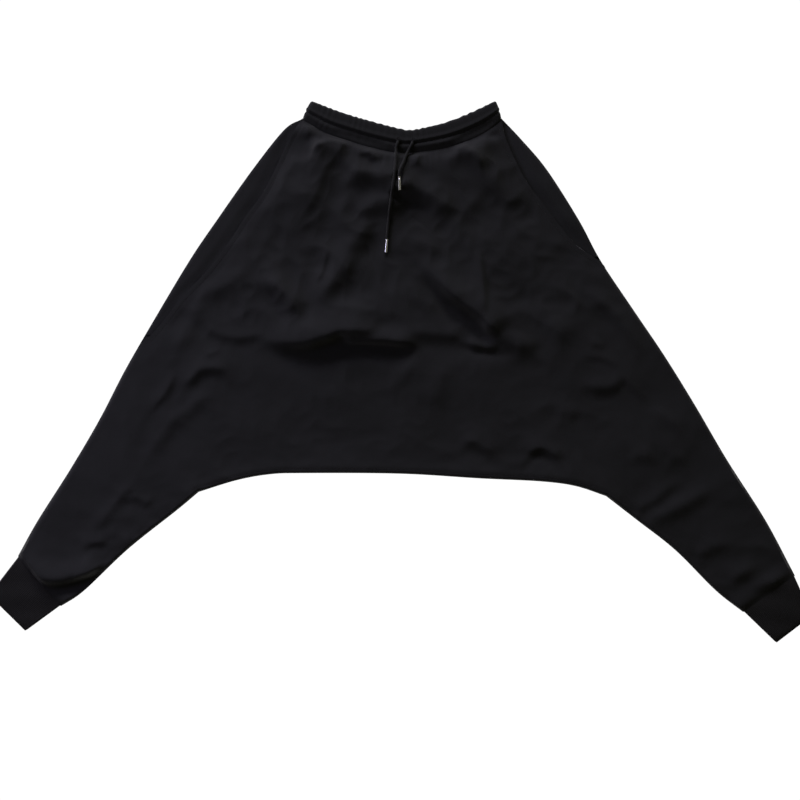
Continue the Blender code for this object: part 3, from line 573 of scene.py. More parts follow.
# %% How the front lies between its edges
def front_lie(x, y, off):
    """How high the front lies inside its edges, but for its folds."""
    lie = PLATEAU + sum(swollen(swell, off) for swell in SWELLS)
    lie += WAIST_RISE * ramp(y, 130, 370)
    lie += BELLY_RISE * ramp(y, -80, 40) * bump(x / 230)
    lie += WANDER * chance_relief(x, y, wavelength=150, seed=11)
    crumples = crumpled(x, y, wavelength=95, seed=12)
    crumples += 0.35 * crumpled(x, y, wavelength=45, seed=13)
    lie += (0.6 + 1.1 * ramp(y, 50, 130)) * crumples
    lie += PUCKER * chance_relief(x, y, wavelength=13, seed=14) * np.exp(-off["sewn"] / 9)
    return lie + gather_height(x, y)


print("the front lies", PLATEAU, "mm high, and", PLATEAU + WAIST_RISE, "near the waist")


# %% The whole height of the front
def front_relief(x, y):
    """The front's height, the sideways push of its folds, and the lowest its inside may be."""
    off = {name: distance_to(x, y, *lines) for name, lines in EDGES.items()}
    off["sewn"] = np.minimum(off["outside"], off["inseams"])
    pockets, waist, hems = off["pockets"], off["waist"], off["hems"]
    shape = sum(fold_shape(fold, x, y) for fold in FOLDS)
    lie = front_lie(x, y, off) + shape[0]

    # rolled down along the sewn edges, and drawn to the heights of waistband and cuffs
    rolled = np.minimum.reduce([
        quarter_round(off["sewn"], SIDE_ROLL), quarter_round(off["crotch"], CROTCH_ROLL),
        1 - HEM_ROLL * np.exp(-hems / 3)])
    height = SEAM_Z + (lie - SEAM_Z) * rolled + swollen(POCKET_GROOVE, off)
    uneven = 1 + 0.5 * chance_relief(x, y, wavelength=60, seed=15)
    height += swollen(UNDER_BAND, off) * uneven
    height += (WAIST_SEAM_Z - height) * bump(waist / WAIST_HOLD)
    height += (HEM_Z - height) * bump(hems / HEM_HOLD) * rolled

    # lower at the pocket mouths, and never let down into the facing or the back
    lying_open = ease(off["outside"] / 5)
    lip = POCKET_LIP * quarter_round(pockets, POCKET_ROLL) * bump(pockets / 12)
    mouth = POCKET_EDGE_Z + lip
    mouth = np.maximum(mouth, MOUTH_SHARE * (height + mouth))
    height += (mouth - height) * (1 - ease(pockets / POCKET_MOUTH)) * lying_open
    over_facing = ramp(pockets, FACING_UNDER + 7, FACING_UNDER + 1) * lying_open
    floor = LOWEST_INSIDE + (FACING_Z + FACING_CLEAR - LOWEST_INSIDE) * over_facing
    over = (height - floor - THICKNESS) / REST_SOFTNESS
    resting = floor + THICKNESS + REST_SOFTNESS * np.logaddexp(0, over)
    height = np.where(off["sewn"] > 3, resting, height)
    inside = np.minimum.reduce([off["sewn"], off["crotch"], waist, pockets])
    free = ease(inside / PUSH_FREE) * ease(hems / 8)
    return height, shape[1] * free, shape[2] * free, floor


print("its edges:", ", ".join(f"{len(lines)} {name}" for name, lines in EDGES.items()))

# %% [markdown]
# ## Cloth with a thickness
#
# A single surface would look like paper at its edges. Each panel is a closed wall: the
# outer points, coarser points under them by the cloth's thickness, and a rim that joins
# them. The inner face takes the lowest of the heights around it, so that it never comes
# through a crease, and it is never let down into the layer below.

# %% Walls
SHARP_ANGLE = radians(55)


def lowest_near(height, reach):
    """The lowest height within some points of each point of a grid, along and across."""
    for _ in range(2):
        rows = len(height)
        wide = np.pad(height, ((reach, reach), (0, 0)), mode="edge")
        height = np.minimum.reduce([wide[i:i + rows] for i in range(2 * reach + 1)]).T
    return height


def new_mesh(name, points, faces):
    """A smooth-shaded mesh from points in millimetres, with its faces pointing out."""
    mesh = bpy.data.meshes.new(name)
    mesh.from_pydata((np.asarray(points, float) * MM).tolist(), [], faces)
    shape = bmesh.new()
    shape.from_mesh(mesh)
    bmesh.ops.recalc_face_normals(shape, faces=shape.faces)
    shape.to_mesh(mesh)
    shape.free()
    mesh.shade_smooth()
    mesh.set_sharp_from_angle(angle=SHARP_ANGLE)
    return mesh


def new_object(name, data, material=None):
    """Link a new object at the origin."""
    thing = bpy.data.objects.new(name, data)
    if material:
        data.materials.append(material)
    bpy.context.collection.objects.link(thing)
    return thing


def numbered(points, first=0):
    """The numbers of the points of a grid, as a grid."""
    shape = points.shape[:2]
    return np.arange(shape[0] * shape[1]).reshape(shape) + first


def grid_faces(index):
    """Faces between the points of a grid."""
    a, b = index[:-1, :-1].ravel(), index[1:, :-1].ravel()
    c, d = index[1:, 1:].ravel(), index[:-1, 1:].ravel()
    return np.column_stack([a, b, c, d]).tolist()


def rim_of(index):
    """The points round a grid's edge, in order."""
    return np.concatenate([index[0], index[1:, -1], index[-1, -2::-1], index[-2:0:-1, 0]])


def cloth_sheet(name, outer, inner, material, coarse=1):
    """A closed wall between two grids. The inner one keeps only each coarse-th point."""
    upper = numbered(outer)
    kept = inner[::coarse, ::coarse]
    lower = numbered(kept, upper.size)
    faces = grid_faces(upper) + grid_faces(lower[:, ::-1])
    fine, few = rim_of(upper), rim_of(lower)
    for i, low in enumerate(few):
        span = [fine[(i * coarse + k) % len(fine)] for k in range(coarse + 1)]
        faces.append([int(p) for p in (*span, few[(i + 1) % len(few)], low)])
    points = np.vstack([outer.reshape(-1, 3), kept.reshape(-1, 3)])
    return new_object(name, new_mesh(name, points, faces), material)


print("a grid of 3 by 4 points:", len(grid_faces(numbered(np.zeros((3, 4))))), "faces")

# %% [markdown]
# ## Wiring
#
# Node trees are easier to read as sums. `Wire` wraps an output socket, so that an
# expression such as `1 - mask * 0.5` adds the Math nodes by itself. `Net.node` adds any
# other node: its settings first, and then the values or wires of its sockets.

# %% Wires and nets
class Wire:
    """An output socket that takes part in Python sums."""

    def __init__(self, net, socket):
        self.net = net
        self.socket = socket

    def __add__(self, other):
        return self.net.maths("ADD", self, other)

    def __sub__(self, other):
        return self.net.maths("SUBTRACT", self, other)

    def __rsub__(self, other):
        return self.net.maths("SUBTRACT", other, self)

    def __mul__(self, other):
        return self.net.maths("MULTIPLY", self, other)

    __radd__ = __add__
    __rmul__ = __mul__


class Net:
    """A node tree that is being wired."""

    def __init__(self, tree):
        self.tree = tree
        tree.nodes.clear()

    def node(self, kind, settings=None, inputs=None, output=0):
        """Add a node: its settings first, then the values or wires of its sockets."""
        node = self.tree.nodes.new(kind)
        for name, value in (settings or {}).items():
            setattr(node, name, value)
        for key, value in (inputs or {}).items():
            if isinstance(value, Wire):
                self.tree.links.new(value.socket, node.inputs[key])
            else:
                node.inputs[key].default_value = value
        return Wire(self, node.outputs[output]) if node.outputs else None

    def maths(self, operation, first, second=0.0):
        """A Math node."""
        return self.node("ShaderNodeMath", {"operation": operation}, {0: first, 1: second})

    def blend(self, share, first, second):
        """A colour between two others."""
        return self.node(
            "ShaderNodeMix", {"data_type": "RGBA"}, {0: share, 6: first, 7: second}, output=2)


# %% [markdown]
# ## Finishes
#
# Black jersey is never quite black. Its loops catch a little light from the side, the
# brushed nap has thinner and thicker patches, and it shows the small crumples of having
# been folded away. The knit itself is far finer than a mesh could carry, so it is a bump:
# columns of loops (wales) crossed by rows (courses). An image of knit would need to be
# unwrapped on each piece. Nodes that work from the place itself need no such thing.

# %% Shared parts of the cloth finishes
def noise(net, place, scale, detail=2.0, roughness=0.5):
    """Noise from 0 to 1 at a number of waves to the metre."""
    return net.node(
        "ShaderNodeTexNoise", None,
        {"Vector": place, "Scale": scale, "Detail": detail, "Roughness": roughness})


def loops(net, across, along, wale, course):
    """Columns of knitted loops: the height of the yarn from 0 to 1."""
    column = net.maths("ABSOLUTE", net.maths("SINE", across * (pi / wale)))
    row = net.maths("SINE", along * (2 * pi / course) + column * 2.4)
    return column * 0.6 + row * 0.2 + 0.2


def finish_net(name):
    """A new material and the net of its nodes."""
    material = bpy.data.materials.new(name)
    material.use_nodes = True
    return material, Net(material.node_tree)


def principled(net, colour, roughness, normal=None, fixed=None):
    """The Principled shader, wired to the output."""
    inputs = {"Base Color": colour, "Roughness": roughness, **(fixed or {})}
    if normal:
        inputs["Normal"] = normal
    shader = net.node("ShaderNodeBsdfPrincipled", None, inputs)
    net.node("ShaderNodeOutputMaterial", None, {"Surface": shader})
    return shader


def bumped(net, layers):
    """Bumps laid over each other: each row gives a height and the millimetres it is worth."""
    normal = None
    for height, worth in layers:
        inputs = {"Height": height, "Distance": worth * MM, "Strength": 1.0}
        if normal:
            inputs["Normal"] = normal
        normal = net.node("ShaderNodeBump", None, inputs)
    return normal


# %% Black jersey
WALE, COURSE = 1.15, 0.95
NAP, CRUMPLE, FLUFF = 14, 34, 420     # waves to the metre
FLUFF_DEPTH, KNIT_DEPTH = 0.10, 0.12
CLOTH_LIGHT = {
    "Specular IOR Level": 0.12, "Sheen Weight": 0.10, "Sheen Roughness": 0.45,
    "Sheen Tint": (0.95, 0.93, 0.88, 1.0),
}


def jersey_finish(name, thin, thick, crumple, on_a_tube=False):
    """Brushed jersey: nap patches, crumples and knitted loops."""
    material, net = finish_net(name)
    place = grain = net.node("ShaderNodeTexCoord", output=3)
    if on_a_tube:
        grain = net.node("ShaderNodeAttribute", {"attribute_name": "grain"}, output=1)
    across = net.node("ShaderNodeSeparateXYZ", None, {0: grain}, output=0)
    along = net.node("ShaderNodeSeparateXYZ", None, {0: grain}, output=1)
    nap = noise(net, place, NAP, 5.0, 0.6)
    fluff = noise(net, place, FLUFF, 2.0)
    colour = net.blend(nap * 0.7 + fluff * 0.3, (*thin, 1), (*thick, 1))
    knit = loops(net, across, along, WALE * MM, COURSE * MM)
    crumples = noise(net, place, CRUMPLE, 4.0, 0.55)
    normal = bumped(net, ((crumples, crumple), (fluff, FLUFF_DEPTH), (knit, KNIT_DEPTH)))
    principled(net, colour, nap * 0.1 + 0.85, normal, CLOTH_LIGHT)
    return material


JERSEY = jersey_finish("black jersey", (0.0072, 0.0071, 0.0078), (0.0107, 0.0106, 0.0116), 0.5)
GATHERED_JERSEY = jersey_finish(
    "black jersey, gathered", (0.0066, 0.0065, 0.0070), (0.0099, 0.0098, 0.0105), 0.3, True)
print("nodes in a cloth finish:", len(JERSEY.node_tree.nodes))

# %% [markdown]
# ## The front
#
# The front is one wide panel from the waist seam to the crotch, and all the folds show on
# it. Its points lie 1 to 6 mm apart, closest under the waistband, where the creases are
# narrowest. The inner face is never seen, so it keeps only every fourth point.

# %% The front
HEM_CELLS, INSEAM_CELLS, CROTCH_CELLS, FRONT_ROWS = 20, 72, 232, 200
INSIDE_STEP = 4

plan = panel_plan(
    SIDE_RIGHT, SIDE_LEFT, lower_edge(HEM_CELLS, INSEAM_CELLS, CROTCH_CELLS),
    crowded_ends(FRONT_ROWS, 0.35))
height, push_x, push_y, floor_under = front_relief(plan[..., 0], plan[..., 1])
front_outer = np.dstack([plan[..., 0] + push_x, plan[..., 1] + push_y, height])
lowest = lowest_near(height, INSIDE_STEP)
front_inner = front_outer.copy()
front_inner[..., 2] = np.clip(lowest - THICKNESS, floor_under, lowest - LEAST_WALL)
front = cloth_sheet("front", front_outer, front_inner, JERSEY, INSIDE_STEP)
print("front:", len(front.data.polygons), "faces, highest", round(height.max(), 1), "mm")

# %% [markdown]
# ## The back and the pocket facings
#
# The back has the same cut and lies flat. Its hidden side was pressed by the table, so it
# has only shallow creases, raised off the table by at most 1.2 mm. A facing is the strip
# of the pocket that shows between the slanted pocket edge and the side seam. It is built
# as rows of points from under the front out to the side, because both its edges fall
# steadily, and it swells a little where the open pocket lets it.

# %% The back
BACK_CELLS, BACK_ROWS = (10, 36, 110), 100
HIGHEST_UNDER = 1.2
RIM_LIFT, RIM_WIDTH = 1.1, 5.0
CREASE_LIFT, WAVE_LIFT = 0.55, 0.3


def back_relief(x, y):
    """The underside of the back: on the table, but for its rounded rim and faint creases."""
    rim = distance_to(x, y, OUTSIDE_RIGHT, OUTSIDE_LEFT, INSEAM_RIGHT, INSEAM_LEFT, CROTCH)
    crease = ease(1 - 2.2 * abs(chance_relief(x, y, wavelength=260, seed=21)))
    wave = np.clip(chance_relief(x, y, wavelength=120, seed=22), 0, 1.6) * ease(rim / 20)
    rounding = np.clip(1 - rim / RIM_WIDTH, 0, 1) ** 2
    return RIM_LIFT * rounding + CREASE_LIFT * crease + WAVE_LIFT * wave


plan = panel_plan(
    OUTSIDE_RIGHT, OUTSIDE_LEFT, lower_edge(*BACK_CELLS), crowded_ends(BACK_ROWS))
under = np.clip(back_relief(plan[..., 0], plan[..., 1]), 0, HIGHEST_UNDER)
back_outer = np.dstack([plan, under])
back_inner = np.dstack([plan, np.full(under.shape, BACK_TOP)])
back = cloth_sheet("back", back_outer, back_inner, JERSEY)
print("back:", len(back.data.polygons), "faces")

# %% The pocket facings
FACING_CELLS, FACING_STEP = 22, 3.0
FACING_WALL = 1.6
MOST_SWELL = 6.0


def facing_sheet(name, pocket, outside, way_out, lowest, swell):
    """The strip from under the front's pocket edge to the outside of the pants."""
    ys = np.arange(pocket[3, 1], lowest, -FACING_STEP)
    seam_x = np.interp(-ys, -pocket[:, 1], pocket[:, 0])
    edge_x = np.interp(-ys, -outside[:, 1], outside[:, 0])
    t = crowded_ends(FACING_CELLS, 0.5)[None, :]
    start = (seam_x - way_out * FACING_UNDER)[:, None]
    x = start + (edge_x[:, None] - start) * t
    y = np.broadcast_to(ys[:, None], x.shape)
    past_seam = way_out * (x - seam_x[:, None])
    rise = swell * ramp(past_seam, 1, 23) * ramp(y, lowest, lowest + 70)
    rise += 0.5 * chance_relief(x, y, wavelength=60, seed=31)
    rise = np.clip(rise, 0, MOST_SWELL)
    rolled = quarter_round(distance_to(x, y, outside), SIDE_ROLL)
    z = SEAM_Z + (FACING_Z + rise - SEAM_Z) * rolled
    z = np.where(past_seam < 1, np.minimum(z, FACING_Z), z)
    inside = np.maximum(z - FACING_WALL, np.minimum(LOWEST_INSIDE, z - LEAST_WALL))
    return cloth_sheet(name, np.dstack([x, y, z]), np.dstack([x, y, inside]), JERSEY)


facing_right = facing_sheet("facing_right", POCKET_RIGHT, OUTSIDE_RIGHT, -1, 62, 2.0)
facing_left = facing_sheet("facing_left", POCKET_LEFT, OUTSIDE_LEFT, 1, 196, 5.0)
print("facings:", [len(piece.data.polygons) for piece in (facing_right, facing_left)], "faces")

# %% [markdown]
# ## Rings pressed flat
#
# The waistband and the cuffs are tubes of doubled cloth, pressed flat. A ring is built as
# a closed band of points: across the front, round one end, back across and round the
# other end, from one edge of the tube to the other and back on the inside.

# %% Points round a flattened ring
RING_END_CELLS = 8


def round_ring(front_cells, back_cells):
    """Round a flattened ring: the share across it, and the turn, 1 in front and 0 behind."""
    turns = np.arange(1, RING_END_CELLS) / RING_END_CELLS
    across = np.concatenate([
        np.linspace(0, 1, front_cells + 1), np.ones(len(turns)),
        np.linspace(1, 0, back_cells + 1), np.zeros(len(turns)),
    ])
    turn = np.concatenate([
        np.ones(front_cells + 1), turns[::-1], np.zeros(back_cells + 1), turns,
    ])
    return across, turn


def ring_loop(line, across, turn, low, high):
    """A loop round a flattened ring: low at the back, high in front, rounded past its ends."""
    place = at_shares(line, across)
    way_out = np.where((across < 0.5)[:, None], line[0] - line[1], line[-1] - line[-2])
    way_out = way_out / np.linalg.norm(way_out, axis=1, keepdims=True)
    place = place + way_out * ((high - low) / 2 * np.sin(turn * pi))[:, None]
    return np.column_stack([place, low + (high - low) * (1 - np.cos(turn * pi)) / 2])


def ring_object(name, outer, inner, material):
    """A wall between two tubes of points. Its grain runs round and along the tube."""
    rows = np.concatenate([outer, inner[::-1]])
    index = np.pad(numbered(rows), ((0, 1), (0, 1)), mode="wrap")
    mesh = new_mesh(name, rows.reshape(-1, 3), grid_faces(index))
    grain = np.zeros(rows.shape, np.float32)
    grain[..., 0] = run_along(outer[0]) * MM
    grain[..., 1] = np.linalg.norm(rows - outer[0], axis=2) * MM
    mesh.attributes.new("grain", "FLOAT_VECTOR", "POINT").data.foreach_set("vector", grain.ravel())
    return new_object(name, mesh, material)


print("points round a ring of 8 and 4 cells:", len(round_ring(8, 4)[0]))

# %% [markdown]
# ## Waistband
#
# The waistband is a casing over elastic, sewn down along its middle into two channels. A
# table gives the profile from seam to top edge, row by row, because that is how a casing
# is made: flat at the stitches and full between them. The elastic draws the band in, and
# it makes uneven little waves that grow towards the top edge.

# %% Profile of the waistband
BandRow = namedtuple("BandRow", "place share z ruffle")

BAND_ROWS = (
    BandRow("seam", 0.00, 8.2, 0.0),
    BandRow("lower channel, foot", 0.05, 9.2, 0.3),
    BandRow("lower channel, face", 0.15, 10.5, 0.6),
    BandRow("lower channel, crest", 0.27, 11.9, 0.9),
    BandRow("lower channel, back", 0.35, 11.9, 0.6),
    BandRow("stitch line", 0.41, 11.1, 0.2),
    BandRow("upper channel, face", 0.47, 13.2, 0.3),
    BandRow("upper channel, crest", 0.53, 14.8, 0.5),
    BandRow("upper channel, shoulder", 0.60, 14.5, 0.6),
    BandRow("upper channel", 0.68, 14.0, 0.7),
    BandRow("upper channel, back", 0.82, 14.0, 0.8),
    BandRow("ruffle", 0.94, 13.4, 1.0),
    BandRow("top edge", 1.00, 10.6, 1.0),
)
BandLift = namedtuple("BandLift", "across lift")
LOWER_CHANNEL = (
    BandLift(0.00, 0.2), BandLift(0.10, 0.8), BandLift(0.22, -1.2), BandLift(0.33, -1.5),
    BandLift(0.45, 0.2), BandLift(0.58, 0.9), BandLift(0.72, 1.3), BandLift(0.82, -1.6),
    BandLift(0.93, -1.8), BandLift(1.00, -0.2),
)
BAND_INSIDE = (4.2, 5.2)
BAND_INSET = 5.0
BAND_CELLS, BAND_FINE_ROWS = 520, 45
BAND_GATHERS = 23
RUFFLE_UP, RUFFLE_OUT = 0.2, 0.45
CHANNEL_SHARE, CHANNEL_WIDTH = 0.25, 0.13
STITCH_SHARE = 0.41       # where the stitch line runs, between foot and head
STITCH_STEP = 3           # cells of the band from point to point of that line

band_rows = np.array([row[1:] for row in BAND_ROWS])
fine_rows = np.linspace(0, 1, BAND_FINE_ROWS)
row_z = smooth(band_rows[:, :2], 0.02)
row_z = np.interp(fine_rows, row_z[:, 0], row_z[:, 1])
row_ruffle = np.interp(fine_rows, band_rows[:, 0], band_rows[:, 2])
lifts = smooth(LOWER_CHANNEL, 0.02)
print("height of the band:", row_z.min().round(1), "to", row_z.max().round(1), "mm")

# %% Waistband
foot = shortened(WAIST_SEAM, BAND_INSET) - (0, SEAM_LAP)
head = at_shares(shortened(BAND_TOP, BAND_INSET), np.linspace(0, 1, len(foot)))


def uneven_wave(across, count, seed, drift):
    """Gathers: a wave whose pitch and size keep changing."""
    rng = np.random.default_rng(seed)
    phase = across * count * 2 * pi
    size = np.ones(across.shape)
    for k in (1, 2, 3, 5, 7):
        phase = phase + 1.6 * drift / k * np.sin(2 * pi * k * across + rng.uniform(0, 2 * pi))
        size = size + 0.25 * np.sin(2 * pi * (k + 1) * across + rng.uniform(0, 2 * pi))
    return np.sin(phase) * np.clip(size, 0.3, 1.8)


across, turn = round_ring(BAND_CELLS, BAND_CELLS // 2)
ends_off = ease(np.minimum(across, 1 - across) * 30)
lower_wave = uneven_wave(across, BAND_GATHERS, 41, 2.5) * ends_off
upper_wave = uneven_wave(across, BAND_GATHERS * 1.15, 42, 2.5) * ends_off
lower_lift = np.interp(across, lifts[:, 0], lifts[:, 1])
band_outer = []
for share, z, ruffle in zip(fine_rows, row_z, row_ruffle):
    loop = ring_loop(foot + (head - foot) * share, across, turn, 0, z)
    wave = ruffle * (lower_wave + (upper_wave - lower_wave) * ramp(share, 0.4, 0.55))
    lifted = lower_lift * bump((share - CHANNEL_SHARE) / CHANNEL_WIDTH)
    loop[:, 2] += (RUFFLE_UP * wave + lifted) * (turn == 1)
    loop[:, 1] += RUFFLE_OUT * wave * ramp(share, 0.8, 1.0) * ease(turn * 3)
    band_outer.append(loop)
band_inner = [ring_loop(line, across, turn, *BAND_INSIDE) for line in (foot, head)]
waistband = ring_object(
    "waistband", np.array(band_outer), np.array(band_inner), GATHERED_JERSEY)
print("waistband:", len(waistband.data.polygons), "faces")

# %% [markdown]
# ## Cuffs
#
# Each leg ends in a doubled rib. Its folded edge is round, and its ribs run from the seam
# to that edge. It is a little narrower than the leg, so the leg is gathered into it. The
# ribs are 3 mm apart, coarse enough to show at the rim, so they are raised in the mesh,
# and the finish adds only the knitted loops.

# %% Sizes of the cuffs
Cuff = namedtuple("Cuff", "side seam edge")

CUFFS = (
    Cuff("right", HEM_RIGHT, ((-700, -377), (-636, -440))),
    Cuff("left", HEM_LEFT[::-1], ((700, -412), (637, -460))),
)
CUFF_INSET = 5.0
CUFF_Z = 7.2
CUFF_FOLD = (1.6, 2.4)    # how far its folded edge draws in from below and from above
CUFF_SWELL, CUFF_WANDER = 0.9, 0.5
CUFF_INSIDE = (3.0, 4.0)
CUFF_INSIDE_SHARES = (0.02, 0.96)
RIB_PITCH = 3.1
RIB_HEIGHT = 0.25
RIB_CELLS = (6, 4)        # cells in a rib, in front and behind
CUFF_ROWS = 26
print("folded edges:", [round(length_of(np.array(row.edge))) for row in CUFFS], "mm wide")


# %% Cuffs
def cuff_object(row, material):
    """A flattened ribbed tube from the seam to its folded edge."""
    seam, edge = (shortened(np.array(line, float), CUFF_INSET) for line in (row.seam, row.edge))
    down = edge.mean(axis=0) - seam.mean(axis=0)
    seam = seam - down / np.linalg.norm(down) * SEAM_LAP
    ribs = round(length_of(seam) / RIB_PITCH)
    across, turn = round_ring(*(ribs * cells for cells in RIB_CELLS))
    rib = np.cos(across * ribs * 2 * pi)
    outer = []
    for share in np.linspace(0, 1, CUFF_ROWS):
        rounding = quarter_round(1 - share, 1 / 8)
        swell = CUFF_SWELL * np.sin(share * pi)
        swell = swell + CUFF_WANDER * np.sin(share * 7 + across * 9)
        low = CUFF_FOLD[0] * (1 - rounding)
        high = CUFF_Z - CUFF_FOLD[1] * (1 - rounding) + swell * rounding
        loop = ring_loop(seam + (edge - seam) * share, across, turn, low, CUFF_Z)
        loop[:, 2] = low + (high - low) * (loop[:, 2] - low) / (CUFF_Z - low)
        loop[:, 2] += RIB_HEIGHT * rib * (turn > 0.5) * rounding * ease(share * 9)
        outer.append(loop)
    inner = [
        ring_loop(seam + (edge - seam) * share, across, turn, *CUFF_INSIDE)
        for share in CUFF_INSIDE_SHARES]
    return ring_object("cuff_" + row.side, np.array(outer), np.array(inner), material)


RIB = jersey_finish(
    "black rib", (0.0062, 0.0058, 0.0060), (0.0088, 0.0082, 0.0084), 0.2, True)
cuffs = {row.side: cuff_object(row, RIB) for row in CUFFS}
print("cuffs:", [len(piece.data.polygons) for piece in cuffs.values()], "faces")

# %% [markdown]
# ## Drawstring
#
# A round braided cord runs through the lower channel of the waistband and comes out of
# two buttonholes in front. Its two free ends lie on the belly, each with a crimped metal
# tip. The cord is limp, so it is laid on the cloth beneath it and only bridges the
# narrowest dips. The braid is two families of strands that wind opposite ways.

# %% Where a round thing rests
WELL_ABOVE = 100.0
FEELERS = 8               # directions in which the cloth round the cord is felt


def tree_of(*things):
    """A search tree over the faces of objects that sit at the origin."""
    points, faces = [], []
    for thing in things:
        start = len(points)
        points += [v.co.copy() for v in thing.data.vertices]
        faces += [[i + start for i in face.vertices] for face in thing.data.polygons]
    return BVHTree.FromPolygons(points, faces)


def top_of(tree, x, y):
    """The highest cloth at a place, in millimetres."""
    hit = tree.ray_cast(Vector((x, y, WELL_ABOVE)) * MM, Vector((0, 0, -1)))[0]
    return hit.z / MM if hit else 0.0


def resting_height(tree, x, y, radius):
    """How high the middle of a round cord lies at a place."""
    highest = top_of(tree, x, y)
    for turn in full_turn(FEELERS):
        for reach in (radius / 2, radius):
            lift = radius - np.sqrt(radius ** 2 - reach ** 2)
            there = top_of(tree, x + reach * np.cos(turn), y + reach * np.sin(turn))
            highest = max(highest, there - lift)
    return highest + radius


def evened(values, width, summary):
    """Each value replaced by a summary of its neighbours."""
    wide = np.pad(values, width // 2, mode="edge")
    return np.array([summary(wide[i:i + width]) for i in range(len(values))])


CLOTH_TREE = tree_of(front, waistband)
print("cloth beside the long cord:", round(top_of(CLOTH_TREE, -30, 300), 1), "mm high")


# %% Tube along a line
def tube_points(line, radius, sides):
    """Rings of points round a line. The radius is a number or one row for each ring."""
    run = headings(line)
    aside = np.cross(run, (0, 0, 1.0))
    aside /= np.linalg.norm(aside, axis=1, keepdims=True)
    up = np.cross(aside, run)
    turn = full_turn(sides)[:, None]
    reach = np.broadcast_to(np.asarray(radius, float), (len(line), sides))[..., None]
    return line[:, None] + (aside[:, None] * np.cos(turn) + up[:, None] * np.sin(turn)) * reach


def tube_object(name, line, radius, sides, material):
    """A closed tube along a line."""
    points = tube_points(line, radius, sides)
    index = numbered(points)
    faces = grid_faces(np.pad(index, ((0, 0), (0, 1)), mode="wrap"))
    faces += [index[0, ::-1].tolist(), index[-1].tolist()]
    return new_object(name, new_mesh(name, points.reshape(-1, 3), faces), material)


print("a straight tube:", tube_points(10.0 * np.eye(3)[:2], 1.0, 6).shape[:2], "points")

# %% [markdown]
# ## Cord, thread and metal
#
# The cord and the thread are spun strands, matt and a little fuzzy, so one function makes
# both from their own numbers. The braid itself is raised in the mesh. The tips are crimped
# steel, and plain steel would mirror the lights too cleanly, so faint handling marks
# roughen it.

# %% Finishes of cord, thread and steel
def strand_finish(name, waves, detail, dark, light, roughness, depth):
    """Matt black strands with a little fuzz."""
    material, net = finish_net(name)
    fuzz = noise(net, net.node("ShaderNodeTexCoord", output=3), waves, detail)
    colour = net.blend(fuzz, (*dark, 1), (*light, 1))
    principled(net, colour, roughness, bumped(net, ((fuzz, depth),)), CLOTH_LIGHT)
    return material


def steel_finish():
    """Polished steel with faint handling marks."""
    material, net = finish_net("polished steel")
    marks = noise(net, net.node("ShaderNodeTexCoord", output=3), 900, 3.0)
    normal = bumped(net, ((marks, 0.01),))
    principled(net, (0.72, 0.72, 0.73, 1), marks * 0.18 + 0.16, normal, {"Metallic": 1.0})
    return material


BRAID = strand_finish(
    "black braid", 1500, 2.0, (0.0044, 0.0042, 0.0045), (0.0080, 0.0077, 0.0082), 0.8, 0.08)
THREAD = strand_finish(
    "black thread", 2500, 1.0, (0.0040, 0.0038, 0.0041), (0.0085, 0.0081, 0.0088), 0.75, 0.05)
STEEL = steel_finish()
print("finishes so far:", [material.name for material in bpy.data.materials])

# %% Routes of the cords, and the profile of a tip
CORD = 5.0
CORD_SIDES = 24
CORD_STEP = 0.6
BRIDGED, EVENED = 13, 21            # steps over which it bridges dips, and is evened out
EXIT_DEPTH, EXIT_RUN = 3.4, 7.0     # how deep it starts, and how soon it has come up
BRAID_PITCH = 9.0
BRAID_STRANDS = 6
BRAID_RELIEF = 0.05                 # of its radius
TIP_LENGTH = 23.0
TIP_SIDES = 32
TIP_PLACES = 12                     # where the cloth under it is felt
LIFTED_RUN = 30.0                   # how much of the cord rises to meet its tip

Route = namedtuple("Route", "name points")
TipRow = namedtuple("TipRow", "share radius")

ROUTES = (
    Route("long", (
        (-4, 393), (-7, 380), (-8, 366), (-9, 348), (-11, 330),
        (-14, 308), (-17, 286), (-19, 268), (-21, 250), (-23, 226))),
    Route("short", (
        (21, 392), (18, 384), (13, 375), (9, 366), (6, 358),
        (3, 351), (0, 344), (-2, 337), (-2, 330))),
)
TIP_ROWS = (
    TipRow(0.000, 1.6), TipRow(0.004, 2.35), TipRow(0.02, 2.55), TipRow(0.10, 2.55),
    TipRow(0.12, 2.25), TipRow(0.15, 2.25), TipRow(0.17, 2.5), TipRow(0.22, 2.5),
    TipRow(0.24, 2.22), TipRow(0.27, 2.22), TipRow(0.29, 2.5), TipRow(0.50, 2.5),
    TipRow(0.93, 2.5), TipRow(0.97, 2.35), TipRow(0.99, 2.05), TipRow(1.00, 1.6),
)
print("points of the routes:", {route.name: len(route.points) for route in ROUTES})


# %% Cords and their tips
def cord_line(points):
    """The cord's middle line: its route, laid on the cloth."""
    plan = smooth(points, 1.5)
    plan = at_shares(plan, np.linspace(0, 1, round(length_of(plan) / CORD_STEP) + 1))
    rest = np.array([resting_height(CLOTH_TREE, x, y, CORD / 2) for x, y in plan])
    height = np.maximum(rest, evened(evened(rest, BRIDGED, max), EVENED, np.mean))
    height -= EXIT_DEPTH * (1 - ease(run_along(plan) / EXIT_RUN))
    return np.column_stack([plan, evened(height, 9, np.mean)])


def braid_radius(line):
    """Strands that wind both ways and pass over and under each other."""
    wound = run_along(line)[:, None] / BRAID_PITCH * 2 * pi
    turn = full_turn(CORD_SIDES)
    one, other = (np.cos(BRAID_STRANDS / 2 * (turn + way * wound)) for way in (1, -1))
    return CORD / 2 * (1 - BRAID_RELIEF + BRAID_RELIEF * np.maximum(one, other))


